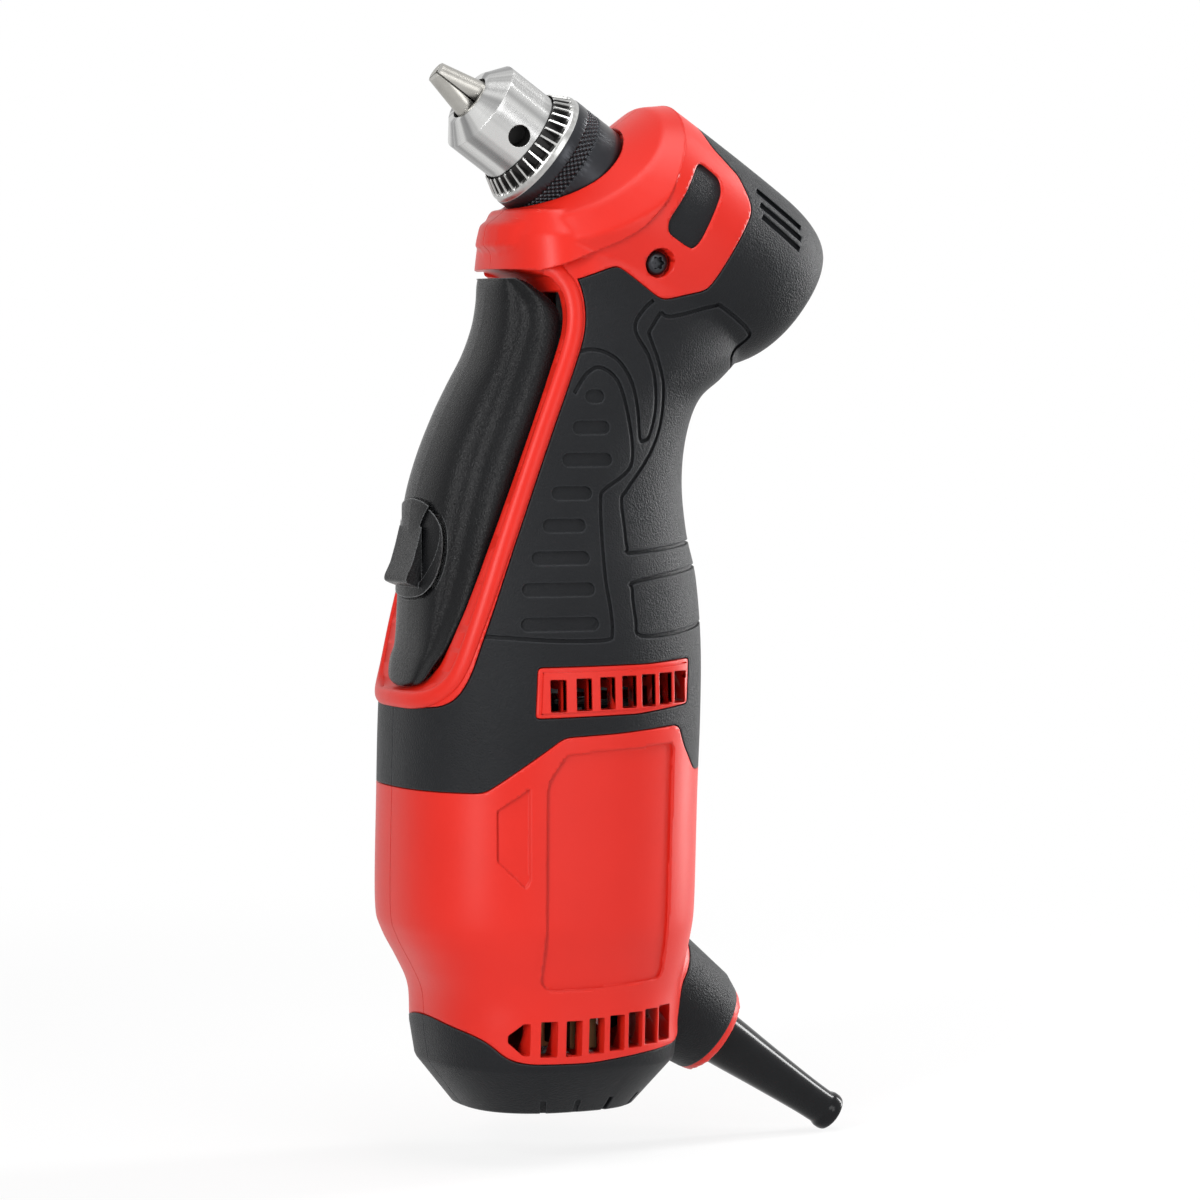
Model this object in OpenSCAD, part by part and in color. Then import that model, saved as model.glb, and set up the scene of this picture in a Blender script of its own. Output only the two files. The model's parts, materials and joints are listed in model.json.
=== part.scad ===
// Right angle drill: corded close quarters drill with a paddle switch and a keyed chuck.
// Frame: +Z runs up the motor axis from the foot, the chuck points to -X and up,
// and the two housing halves meet on the plane y = 0.

/* [Overall] */
// Height from the foot to the crown of the head
tool_h = 282; // [270:1:296]
// Depth of the motor body, front to back
body_depth = 90; // [86:0.5:96]
// Width of the motor body
body_width = 78; // [74:0.5:84]
// Angle between the handle and the chuck
head_angle = 55; // [53:0.5:57]
// Radius of the head barrel
head_r = 32; // [31:0.25:34]
// Length of the head behind the motor axis
head_len = 84.5; // [83:0.5:88]

/* [Housing] */
// Thickness of the soft black skin
skin_t = 2; // [1.6:0.1:2.4]
// Wall of the moulded shell under the skin
wall_t = 2.4; // [2:0.1:2.8]
// Width of the red rim around the paddle
trim_w = 4; // [3:0.1:5]
// Thickness of the ribs inside the shell
rib_t = 2.4; // [1.8:0.1:3]
// Radius of a screw boss
boss_r = 5.2; // [4.8:0.1:5.6]
// Radius of the cord boss at its end
cord_boss_r = 12.8; // [12:0.1:14]

/* [Vents and grip] */
// Number of upper vent slots
upper_vents = 7; // [5:1:7]
// Width of an upper vent slot
upper_vent_w = 4.4; // [3.6:0.1:4.8]
// Height of an upper vent slot
upper_vent_h = 8.6; // [7:0.1:9]
// Spacing of the first two upper vent slots
upper_vent_pitch = 7.6; // [7.2:0.1:7.8]
// Number of lower vent slots
lower_vents = 7; // [5:1:7]
// Width of a lower vent slot
lower_vent_w = 4.4; // [3.6:0.1:4.8]
// Height of a lower vent slot
lower_vent_h = 9.6; // [8:0.1:10]
// Spacing of the first two lower vent slots
lower_vent_pitch = 7.2; // [6.8:0.1:7.4]
// Height of a grip recess
recess_h = 4; // [3:0.1:4.6]
// Depth of a grip recess
recess_depth = 0.9; // [0.5:0.1:1.2]
// Width of the moulded grooves in the grip
groove_w = 1.1; // [0.8:0.1:1.5]
// Depth of the moulded grooves in the grip
groove_depth = 0.7; // [0.4:0.1:1]
// Depth of the panel that would carry a label
panel_depth = 0.5; // [0.3:0.1:0.8]

/* [Paddle] */
// Wall of the paddle
paddle_wall = 2.6; // [2:0.1:3]
// Radius of the paddle pin
paddle_pin_r = 2; // [1.6:0.1:2.4]
// Half width of the direction selector
selector_half_w = 13.5; // [12:0.1:14]

/* [Chuck] */
// Radius of the chuck sleeve
sleeve_r = 17.6; // [17:0.1:18]
// Length of the sleeve from its toothed edge to its rear
sleeve_len = 18.4; // [17:0.1:19]
// Depth of the toothed ring along the chuck axis
ring_len = 5; // [4:0.1:6]
// Number of teeth on the ring
ring_teeth = 34; // [28:1:36]
// Radius of the chuck nose
nose_r = 13.7; // [13.2:0.1:14]
// Length of the chuck nose ahead of the toothed ring
nose_len = 14.4; // [13:0.1:16]
// Length of the cone at the front of the nose
cone_len = 4.2; // [3:0.1:5]
// Radius of the front rim of the nose
rim_r = 8.4; // [8:0.1:9]
// How far the closed jaws stand out of the nose
jaw_out = 11.8; // [10:0.1:13]
// Radius of a jaw
jaw_r = 3.2; // [3:0.05:3.4]
// Lean of the jaws to the chuck axis, in degrees
jaw_lean = 15; // [14.5:0.25:15.25]
// Radius gripped by the closed jaws
grip_r = 0.75; // [0.5:0.05:1]
// Radius of the chuck key hole
key_r = 3.1; // [2.8:0.1:3.3]

/* [Drive] */
// Distance from the motor axis to the layshaft
layshaft_x = 18; // [18:0.25:18.5]
// Radius of the layshaft
layshaft_r = 4; // [3.5:0.1:4.5]
// Radius of the spindle
spindle_r = 6; // [5.6:0.1:6.2]
// Teeth on the motor pinion
motor_teeth = 8; // [8:1:9]
// Teeth on the first gear
first_teeth = 40; // [38:1:42]
// Teeth on the bevel pinion
pinion_teeth = 10; // [10:1:11]
// Teeth on the bevel gear
bevel_teeth = 30; // [28:1:32]
// Pitch radius of the bevel gear
bevel_r = 18; // [17.4:0.1:18.2]
// Face width of the bevel teeth
bevel_face = 8; // [7:0.1:8.5]
// Outer radius of the gear case
case_r = 24; // [23.6:0.1:24.4]
// Wall of the gear case
case_wall = 3.4; // [3:0.1:3.8]

/* [Motor] */
// Radius of the stator
stator_r = 29; // [28:0.1:30]
// Length of the stator
stator_len = 42; // [38:0.5:44]
// Radius of the armature core
armature_r = 17.5; // [17:0.1:18]
// Radius of the armature shaft
shaft_r = 4; // [3.6:0.1:4.4]
// Radius of the commutator
commutator_r = 11; // [10:0.1:12]
// Radius of the fan
fan_r = 27; // [25:0.1:28]
// Number of fan blades
fan_blades = 12; // [9:1:14]

/* [Cord boot] */
// Radius of the boot where it leaves the housing
boot_r = 8; // [7.6:0.1:8.4]
// Radius of the boot near its end
boot_tip_r = 5; // [4.8:0.1:5.4]
// Length of the boot outside the housing
boot_len = 46; // [42:0.5:50]
// Radius of the hole for the cord
cord_r = 3.6; // [3.2:0.1:3.9]

/* [Hidden] */

// Overrun of every cut
overrun = 1;
// How far the outside of a surface layer stands off the surface
layer_over = 3;
// Clearance between parts that only sit in each other
seat_gap = 0.25;
// Clearance between parts that move past each other
run_gap = 0.4;
// Radial clearance of a running fit
fit_gap = 0.05;
half_depth = body_depth / 2;
half_width = body_width / 2;
shell_t = skin_t + wall_t;
rise_angle = 90 - head_angle;

// Height at which the chuck axis crosses the motor axis
head_z_share = 0.9475;
head_z = tool_h * head_z_share;

// Motor body and grip: height share, front, back and width shares
body_shares = [
    [0.012, 0.51, 0.53, 0.59], [0.059, 0.745, 0.8, 0.846], [0.092, 0.778, 0.82, 0.885],
    [0.128, 0.79, 0.83, 0.897], [0.156, 0.867, 0.87, 0.936], [0.184, 0.96, 0.905, 0.985],
    [0.213, 1, 0.925, 1], [0.319, 0.99, 0.945, 1], [0.397, 0.978, 0.965, 1],
    [0.468, 0.956, 0.972, 0.974], [0.532, 0.933, 0.945, 0.925], [0.574, 0.905, 0.89, 0.872],
    [0.624, 0.844, 0.865, 0.821], [0.67, 0.756, 0.9, 0.79], [0.706, 0.644, 0.99, 0.777],
    [0.727, 0.578, 1.15, 0.769], [0.752, 0.489, 1.28, 0.756], [0.798, 0.356, 1.3, 0.718],
    [0.837, 0.327, 1.2, 0.692], [0.869, 0.311, 1, 0.615]
];
// Head barrel along the chuck axis: length share, rise of the centre, half height, half width
head_shares = [
    [-1, 0.244, 0.5, 0.547], [-0.971, 0.228, 0.641, 0.703], [-0.914, 0.188, 0.766, 0.8125],
    [-0.823, 0.15, 0.853, 0.89], [-0.686, 0.094, 0.922, 0.9375], [-0.457, 0.016, 1, 0.969],
    [-0.206, 0, 1.006, 0.9375], [-0.057, 0.009, 0.969, 0.875], [0.069, 0.016, 0.906, 0.8125]
];
body_power = 2.5;
head_power = 2.15;
body_sides = 14;
body_steps = 1;
head_steps = 1;
core_sides = 8;

// Front face of the collar: where it meets the chuck axis, its lean and its crown
collar_face_s = -7.5;
collar_lean = 19.6;
collar_crown_r = 42;
// Gap around the sleeve in the collar
collar_gap = 0.9;

// Opening for the paddle, side view, as shares of body depth and height
opening_shares = [
    [-0.7, 0.424], [-0.47, 0.424], [-0.443, 0.427], [-0.422, 0.438], [-0.402, 0.454],
    [-0.383, 0.475], [-0.303, 0.552], [-0.204, 0.633], [-0.109, 0.709], [-0.044, 0.757],
    [-0.025, 0.779], [-0.0305, 0.7965], [-0.058, 0.8215], [-0.122, 0.8315], [-0.7, 0.833]
];
// Black grip area, side view
grip_shares = [
    [-0.7, 0.331], [-0.44, 0.33], [-0.34, 0.33], [-0.242, 0.353], [-0.107, 0.383], [0.073, 0.3855],
    [0.297, 0.391], [0.32, 0.371], [0.378, 0.344], [0.7, 0.344], [1.2, 0.674], [1.2, 1.04],
    [0.456, 1.04], [0.411, 0.968], [0.434, 0.957], [0.54, 0.931], [0.556, 0.9255], [0.578, 0.901],
    [0.577, 0.889], [0.522, 0.862], [0.432, 0.818], [0.412, 0.812], [0.291, 0.804],
    [0.264, 0.805], [0.142, 0.834], [0.12, 0.836], [-0.002, 0.822], [-0.7, 0.822]
];
// Red window around the upper vents
window_shares = [[-0.195, 0.402], [0.14, 0.404], [0.335, 0.411], [0.345, 0.455], [0.18, 0.4515],
    [-0.185, 0.4505]];
// Black end cap and cord boss cover, side view
end_shares = [
    [-0.7, 0.11], [-0.4, 0.11], [-0.38, 0.101], [-0.326, 0.0925], [-0.291, 0.085], [-0.244, 0.07],
    [-0.184, 0.0655], [0, 0.065], [0.176, 0.071], [0.342, 0.076], [0.389, 0.089], [0.394, 0.117],
    [0.405, 0.138], [0.41, 0.165], [0.41, 0.2], [0.9, 0.21], [1.2, -0.1], [-0.7, -0.1]
];
// Inlay on the side of the head
pad_shares = [
    [0.395, 0.935], [0.418, 0.936], [0.475, 0.922], [0.474, 0.908], [0.388, 0.86], [0.365, 0.853],
    [0.345, 0.854], [0.277, 0.868], [0.279, 0.88], [0.337, 0.905]
];
// Recessed panel on the motor body, left bare
panel_shares = [
    [-0.165, 0.143], [-0.13, 0.137], [0.024, 0.138], [0.254, 0.143], [0.28, 0.374], [-0.1, 0.367],
        [-0.16, 0.339]
];
// Small recess ahead of that panel
notch_shares = [[-0.213, 0.335], [-0.307, 0.314], [-0.307, 0.265], [-0.227, 0.239], [-0.213, 0.245]];
// Grip recesses: left end, right end and height
recess_shares = [
    [0.004, 0.066, 0.71], [-0.04, 0.082, 0.68], [-0.077, 0.087, 0.649], [-0.116, 0.015, 0.617],
    [-0.15, -0.012, 0.586], [-0.19, -0.006, 0.555], [-0.224, 0.004, 0.525], [-0.232, 0.012, 0.492]
];
// Moulded grooves of the grip, each a line of points in the side view
groove_arch_shares = [
    [-0.27, 0.4795], [-0.115, 0.476], [0.033, 0.476], [0.055, 0.483], [0.053, 0.505], [0.041, 0.534],
    [0.039, 0.572], [0.042, 0.61], [0.056, 0.62], [0.126, 0.634], [0.156, 0.646], [0.158, 0.668],
    [0.138, 0.701], [0.109, 0.726], [0.056, 0.738], [0.01, 0.731]
];
groove_blade_shares = [
    [0.02, 0.755], [0.072, 0.753], [0.121, 0.743], [0.159, 0.723], [0.179, 0.697], [0.187, 0.669],
    [0.204, 0.667], [0.223, 0.672], [0.243, 0.696], [0.238, 0.7255], [0.216, 0.75], [0.181, 0.769],
    [0.18, 0.782], [0.212, 0.795], [0.243, 0.803]
];
groove_rear_shares = [
    [0.266, 0.7915], [0.226, 0.774], [0.224, 0.768], [0.249, 0.745], [0.27, 0.716], [0.264, 0.682],
    [0.222, 0.653], [0.134, 0.6195], [0.114, 0.61], [0.119, 0.581], [0.124, 0.564], [0.152, 0.559],
        [0.5, 0.57]
];
groove_box_shares = [
    [0.5, 0.546], [0.158, 0.532], [0.131, 0.523], [0.138, 0.494], [0.153, 0.479], [0.3, 0.481], [0.5, 0.491]
];
groove_head_shares = [
    [0.266, 0.7915], [0.302, 0.787], [0.452, 0.7975], [0.474, 0.7975], [0.584, 0.774], [0.589, 0.764],
    [0.541, 0.747], [0.6, 0.725]
];
// Three ribs on the rear of the head: start and end of the lowest and highest
head_rib_shares = [[[0.617, 0.885], [0.75, 0.853]], [[0.618, 0.897], [0.765, 0.863]],
    [[0.62, 0.911], [0.775, 0.874]]];

// Upper and lower vents: place of the first slot, rise over the row and how the spacing closes up
upper_vent_x_share = -0.127;
upper_vent_z_share = 0.4235;
upper_vent_rise_share = 0.0007;
lower_vent_x_share = -0.132;
lower_vent_z_share = 0.09;
lower_vent_rise_share = 0.0016;
vent_close_share = 0.026;

// Housing screws: places in the side view
housing_screw_shares = [[-0.27, 0.088], [0.28, 0.088], [-0.385, 0.347], [0.4, 0.347], [0.33, 0.567]];
// Housing screw sizes
screw_r = 1.9;
screw_head_r = 3.4;
screw_head_h = 2.8;
screw_seat_y = 8;
screw_reach = 9;

// Screw on each side of the head
case_screw_x_share = 0.26;
case_screw_z_share = 0.839;
case_screw_r = 2;
case_screw_head_r = 3.3;
case_screw_head_h = 2.4;
case_well_r = 4.4;
case_screw_seat_y = 25;
case_screw_reach = 5.6;

// Cord boss: end point in the side view and its fall below the level
cord_x_share = 0.589;
cord_z_share = 0.07;
cord_fall = 34;
cord_boss_len = 30;
cord_boss_flare = 4;
cord_boss_lift = 2.5;
cord_ring_w = 3;
boot_flange_r = 9.6;
boot_flange_t = 2.6;
boot_neck = 4;
boot_lip = 0.8;
boot_lip_t = 2.2;

// Paddle: height share, front, back and half width shares
paddle_shares = [
    [0.4285, 0.94, 0.9, 0.12], [0.434, 0.942, 0.885, 0.3], [0.452, 0.92, 0.835, 0.37],
    [0.472, 0.89, 0.75, 0.42], [0.52, 0.878, 0.6, 0.53], [0.57, 0.858, 0.5, 0.595],
    [0.61, 0.832, 0.41, 0.61], [0.65, 0.76, 0.325, 0.605], [0.69, 0.655, 0.225, 0.595],
    [0.72, 0.56, 0.155, 0.57], [0.748, 0.463, 0.1, 0.54], [0.775, 0.402, 0.05, 0.505],
    [0.797, 0.375, 0.07, 0.47], [0.817, 0.36, 0.2, 0.4], [0.8245, 0.345, 0.28, 0.34]
];
// Rows of that table with a bar across the inside
bar_rows = [2, 3, 7, 8, 9, 10, 11, 12];
paddle_power = 2.1;
// Depth of the flute along each flank of the paddle
flute_depth = 1.1;
// Middle and half width of that flute around the section
flute_at_share = 0.62;
flute_half_share = 0.3;
paddle_sides = 14;
paddle_pin_x_share = -0.3945;
paddle_pin_z_share = 0.438;
paddle_hub_r = 4;
paddle_hub_half = 11;
paddle_pin_half = 21;
paddle_gap = 0.6;
// Pocket of the selector in the paddle, side view
pocket_shares = [
    [-0.7, 0.63], [-0.44, 0.626], [-0.405, 0.608], [-0.382, 0.585], [-0.382, 0.557], [-0.4, 0.532],
    [-0.438, 0.509], [-0.7, 0.5]
];
pocket_wall = 1.8;
// Front lip of the selector
selector_lip_shares = [[-0.43, 0.6], [-0.452, 0.572], [-0.462, 0.55], [-0.482, 0.534], [-0.478, 0.5275],
    [-0.43, 0.522]];
selector_dish_r = 30;
selector_dish = 1.6;

// Switch behind the paddle
switch_x = -5;
switch_depth = 15;
switch_half_w = 10;
switch_z_share = 0.528;
switch_h = 42;
plunger_r = 3;
plunger_out = 10;
plunger_in = 5;
plunger_z_share = 0.645;
post_r = 3.4;

// Chuck stations along its axis, from the crossing of the axes
ring_s_share = 0.13;
ring_s = sleeve_r * ring_s_share;
sleeve_rear_s = ring_s - sleeve_len;
nose_root_s = ring_s + ring_len;
rim_s = nose_root_s + nose_len + cone_len;
jaw_tip_s = rim_s + jaw_out;
sleeve_wall = 2.2;
ring_tooth_h = 3;
nose_bore_r = 6.6;
nose_bore_depth = 6;
nut_len = 8;
nut_gap = 0.3;
jaw_len = 38;
jaw_travel = 13;
jaw_split = 0.24;
jaw_bore_gap = 0.1;
sleeve_set = 1;
sleeve_edge = 0.5;
back_edge = 1;
ring_root_share = 0.32;
ring_tip_share = 0.2;
key_at_share = 1.5;
jaw_tip_r = 2.9;
key_s = nose_root_s + key_r * key_at_share;
key_depth = 6;
key_turn = 60;
// Turn of the whole chuck about its axis
chuck_turn = -45;
chuck_screw_r = 2.4;
chuck_screw_head_r = 3.6;
chuck_screw_head_h = 3;
// Screw inside the chuck reaches this far into the spindle
chuck_screw_reach = 10;
thread_r = 4.76;
thread_len = 15;

// Gears: bevel cone angles from the tooth counts and the shaft angle
pinion_cone = atan2(sin(head_angle), bevel_teeth / pinion_teeth + cos(head_angle));
bevel_cone = head_angle - pinion_cone;
cone_dist = bevel_r / sin(bevel_cone);
apex_z = head_z - layshaft_x * tan(rise_angle);
apex_s = -layshaft_x / cos(rise_angle);
bevel_module = 2 * bevel_r / bevel_teeth;
bevel_add_share = 0.7;
bevel_ded_share = 1;
// How far a tooth space runs past the heel, and the step inside the toe
bevel_far_share = 1.2;
bevel_toe_share = 1.5;
bevel_hub = 7;
// Thickness behind the heel of a bevel tooth, and the gear's depth from its apex
bevel_back_share = 2;
bevel_depth = cone_dist * cos(bevel_cone) + bevel_back_share * bevel_module * sin(bevel_cone);
gear_module = 2 * layshaft_x / (motor_teeth + first_teeth);
gear_add_share = 0.6;
gear_ded_share = 0.95;
gear_thick_share = 0.36;
// Tooth width of the bevel gears, slimmer for their backlash
bevel_thick_share = 0.24;
gear_taper_share = 0.12;
first_gear_t = 8;
motor_pinion_t = 10;

// Bearings and bushes: inner radii follow the shafts
bearing_gap = 4;
front_bearing_r = 14;
front_bearing_w = 8;
front_bearing_s = sleeve_rear_s - front_bearing_w - bearing_gap;
rear_bush_r = 9;
rear_bush_w = 9;
// Room between the bevel gear's hub and the rear bush
bush_gap = 4.1;
rear_bush_s = apex_s - bevel_depth - bevel_hub - bush_gap - rear_bush_w;
layshaft_bearing_r = 9.5;
layshaft_bearing_w = 7;
layshaft_bush_r = 6.2;
motor_bearing_r = 11;
motor_bearing_w = 7;
case_rear_wall = 3;
lay_tube_r = 12;
lay_tube_drop = 8;

// Motor stations as shares of the height
lower_bearing_z_share = 0.0315;
commutator_z_share = 0.072;
stator_z_share = 0.17;
fan_z_share = 0.366;
plate_z_share = 0.42;
first_gear_z_share = 0.4655;
commutator_len = 14;
armature_slots = 12;
slot_w = 2.4;
slot_d = 7;
winding_h = 9;
winding_r = 15.5;
fan_h = 12;
fan_plate_t = 1.6;
fan_hub_r = 9;
blade_t = 1.4;
air_gap = 0.7;
coil_in = 1.4;
coil_out = 7;
coil_end = 7;
brush_w = 5;
brush_h = 8;
brush_wall = 1.4;
brush_len = 9;
brush_gap = 0.3;
plate_t = motor_bearing_w;
plate_wall = 4;
lower_bearing_z = tool_h * lower_bearing_z_share;
commutator_z = tool_h * commutator_z_share;
stator_z = tool_h * stator_z_share;
fan_z = tool_h * fan_z_share;
plate_z = tool_h * plate_z_share;
first_gear_z = tool_h * first_gear_z_share;
shaft_top_z = first_gear_z + motor_pinion_t;

// Places that follow from the sizes above
nut_s = ring_s - nut_len - 3 * nut_gap;
sleeve_bore_r = sleeve_r - sleeve_wall / 2;
back_r = sleeve_bore_r - run_gap;
waist_r = jaw_reach(nut_s + nut_len) - nut_gap;
pinion_heel_z = apex_z - cone_dist * cos(pinion_cone);
lay_bearing_z = pinion_heel_z - bevel_hub - 2 * bevel_module - layshaft_bearing_w - 2 * overrun;
brush_z = commutator_z + commutator_len / 2;
brush_end_share = 0.86;
coil_half = 62;
brush_end_y = brush_end_share * half_width - shell_t;

red = "#a8161d";
black = "#1d1d1f";
steel = "#b9bcc0";
dark_steel = "#3c3d40";
copper = "#b06a3a";
bronze = "#9a7b42";
alloy = "#8f9296";

// Place of a side view point, from shares of depth and height
function side_point(p) = [p.x * body_depth, p.y * tool_h];
function side_points(list) = [for (p = list) side_point(p)];

// One coordinate of a smooth curve through four values
function smooth_value(a, b, c, d, t) =
    b + t * ((c - a) / 2 + t * ((2 * a - 5 * b + 4 * c - d) / 2 + t * (3 * b - a - 3 * c + d) / 2));
function row_at(rows, i) = rows[max(0, min(len(rows) - 1, i))];
function smooth_row(rows, i, t) = [
    for (j = [0:len(rows[0]) - 1])
        smooth_value(row_at(rows, i - 1)[j], rows[i][j], row_at(rows, i + 1)[j], row_at(rows, i + 2)[j], t)
];
// Rows of a table with extra rows between them on a smooth curve
function smooth_rows(rows, steps) = concat(
    [for (i = [0:len(rows) - 2], k = [0:steps - 1]) smooth_row(rows, i, k / steps)], [rows[len(rows) - 1]]
);
// Every second row of a table and its last row
function coarse_rows(rows) = concat([for (i = [0:2:len(rows) - 2]) rows[i]], [rows[len(rows) - 1]]);
// Signed power of a cosine, for rounded box sections
function power_of(v, n) = sign(v) * pow(abs(v), 2 / n);

// Half ring of the body at one row, on the -Y side, drawn in by an inset
function body_ring(row, inset, sides) =
    let (
        front = -row[1] * half_depth + inset,
        back = row[2] * half_depth - inset,
        wide = row[3] * half_width - inset,
        middle = (front + back) / 2,
        reach = (back - front) / 2
    )
    [for (i = [0:sides]) let (t = 180 * i / sides) [
        middle - reach * power_of(cos(t), body_power),
        -wide * power_of(max(0, sin(t)), body_power),
        max(row[0], body_shares[0][0]) * tool_h + (row[0] > body_shares[0][0] ? 0 : inset)
    ]];
function head_ring(row, inset, sides) =
    let (rise = row[1] * head_r, high = row[2] * head_r - inset, wide = row[3] * head_r - inset)
    [for (i = [0:sides]) let (t = 180 * i / sides) [
        rise - high * power_of(cos(t), head_power),
        -wide * power_of(max(0, sin(t)), head_power),
        max(row[0] * head_len, inset - head_len)
    ]];
// Closed solid from half rings that all start and end on the middle plane
module half_loft(rings) {
    n = len(rings[0]);
    m = len(rings);
    points = [for (ring = rings) each ring];
    skin = [for (k = [0:m - 2], i = [0:n - 2]) let (a = k * n + i) each [[a, a + n, a + n + 1],
        [a, a + n + 1, a + 1]]];
    flat = [for (k = [0:m - 2]) let (a = k * n, b = a + n - 1) each [[b, b + n, a + n], [b, a + n, a]]];
    foot = [[for (i = [0:n - 1]) i]];
    top = [[for (i = [n - 1:-1:0]) (m - 1) * n + i]];
    polyhedron(points = points, faces = concat(skin, flat, foot, top));
}
module head_frame() translate([0, 0, head_z]) rotate([0, -head_angle, 0]) children();
module cord_frame()
    translate([cord_x_share * body_depth, 0, cord_z_share * tool_h]) rotate([0, 90 + cord_fall, 0])
        children();

// Radius of a many sided hole that still clears a round part
function clear_r(r, sides) = r / cos(180 / sides);
// Everything on the -Y side of the middle plane
module near_side() {
    span = 2 * (tool_h + head_len);
    translate([-span / 2, -span, -span / 2]) cube([span, span, span]);
}
// Upright prism of a side view outline through the whole width
module side_prism() rotate([90, 0, 0]) linear_extrude(height = 2 * body_width, center = true) children();

module body_form(inset = 0, fine = true) half_loft([
    for (row = fine ? smooth_rows(body_shares, body_steps) : coarse_rows(body_shares))
        body_ring(row, inset, fine ? body_sides : core_sides)
]);
// Front of the head: a leaning face with a rounded crown
module collar_limit(inset = 0) {
    reach = head_len + head_r;
    translate([0, 0, collar_face_s - inset]) rotate([0, collar_lean, 0])
        rotate([90, 0, 90]) linear_extrude(height = 2 * reach, center = true) {
            translate([0, -collar_crown_r]) circle(r = collar_crown_r, $fn = 64);
            translate([-reach, -collar_crown_r - 2 * reach]) square([2 * reach, 2 * reach]);
        }
}
module head_form(inset = 0, fine = true)
    head_frame() intersection() {
        half_loft([
            for (row = fine ? smooth_rows(head_shares, head_steps) : head_shares)
                head_ring(row, inset, fine ? body_sides : core_sides)
        ]);
        collar_limit(inset);
    }
module cord_form(inset = 0) {
    intersection() {
        near_side();
        cord_frame() hull() {
            translate([0, 0, -cord_boss_len]) translate([-cord_boss_lift, 0, 0])
                cylinder(r = cord_boss_r + cord_boss_flare - inset, h = overrun, $fn = 20);
            translate([-cord_boss_lift / 2, 0, -cord_ring_w - cord_boss_flare])
                cylinder(r = cord_boss_r + cord_boss_flare / 2 - inset, h = overrun, $fn = 20);
            translate([0, 0, -overrun]) cylinder(r = cord_boss_r - inset, h = overrun, $fn = 20);
        }
    }
}
module outer_form() {
    body_form();
    head_form();
    cord_form();
}
// Shell under the soft skin
module core_form() {
    body_form(skin_t);
    head_form(skin_t);
    cord_form(skin_t);
}
module cavity_form() {
    body_form(shell_t, false);
    intersection() {
        head_form(shell_t, false);
        head_frame() translate([-head_len, -head_len,
            front_bearing_s - 2 * head_len + front_bearing_w + seat_gap])
            cube([2 * head_len, 2 * head_len, 2 * head_len]);
    }
}
module opening_outline() polygon(side_points(opening_shares));
module grip_outline() difference() {
    polygon(side_points(grip_shares));
    offset(r = trim_w, $fn = 12) opening_outline();
    offset(r = trim_w / 4, $fn = 16) offset(delta = -trim_w / 4) polygon(side_points(window_shares));
}
module end_outline() difference() {
    polygon(side_points(end_shares));
    projection_ring();
}
// Red ring left bare around the end of the cord boss
module projection_ring() {
    reach = 2 * cord_boss_r;
    translate([cord_x_share * body_depth, cord_z_share * tool_h]) rotate(-cord_fall)
        translate([-cord_ring_w, -reach]) square([reach, 2 * reach]);
}
module pad_outline() offset(r = trim_w / 4, $fn = 16) offset(delta = -trim_w / 4)
    polygon(side_points(pad_shares));
// Skin between the outer form and the shell, inside a side view outline
module skin_in() intersection() {
    difference() {
        outer_form();
        core_form();
    }
    side_prism() children();
}
// One edge of a groove in the side view, beside its line of points
function groove_edge(p, side) = [
    for (i = [0:len(p) - 1]) let (run = p[min(i + 1, len(p) - 1)] - p[max(i - 1, 0)])
        p[i] + side * groove_w / 2 / norm(run) * [-run.y, run.x]
];
function turned_round(list) = [for (i = [len(list) - 1:-1:0]) list[i]];
module groove_line(shares) {
    p = side_points(shares);
    polygon(concat(groove_edge(p, 1), turned_round(groove_edge(p, -1))));
}
// Surface layer of a given depth on the near side
module surface_layer(depth) difference() {
    union() {
        body_form(-layer_over, false);
        head_frame() half_loft([for (row = head_shares) head_ring(row, -layer_over, core_sides)]);
    }
    body_form(depth);
    head_form(depth);
}
function vent_x(i, x_share, pitch) = x_share * body_depth + pitch * i * (1 - vent_close_share * i);
// Rounded slot through the wall
module slot(w, h) hull() for (z = [-1, 1]) translate([0, 0, z * (h - w) / 2]) rotate([90, 0, 0])
    cylinder(d = w, h = body_width, $fn = 6);
module upper_vent_cuts() for (i = [0:upper_vents - 1])
    translate([vent_x(i, upper_vent_x_share, upper_vent_pitch), 0,
        (upper_vent_z_share + upper_vent_rise_share * i) * tool_h])
        slot(upper_vent_w, upper_vent_h);
module lower_vent_cuts() for (i = [-1:lower_vents - 1])
    translate([
        vent_x(i, lower_vent_x_share, lower_vent_pitch), 0,
        (lower_vent_z_share + lower_vent_rise_share * max(0, i - 1)) * tool_h
    ]) slot(lower_vent_w, i < 0 ? lower_vent_h - lower_vent_w / 2 : lower_vent_h);
function screw_place(i) = [housing_screw_shares[i].x * body_depth, 0, housing_screw_shares[i].y * tool_h];
module along_y(r, from, to, sides) translate([0, to, 0]) rotate([90, 0, 0])
    cylinder(r = r, h = to - from, $fn = sides);

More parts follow.
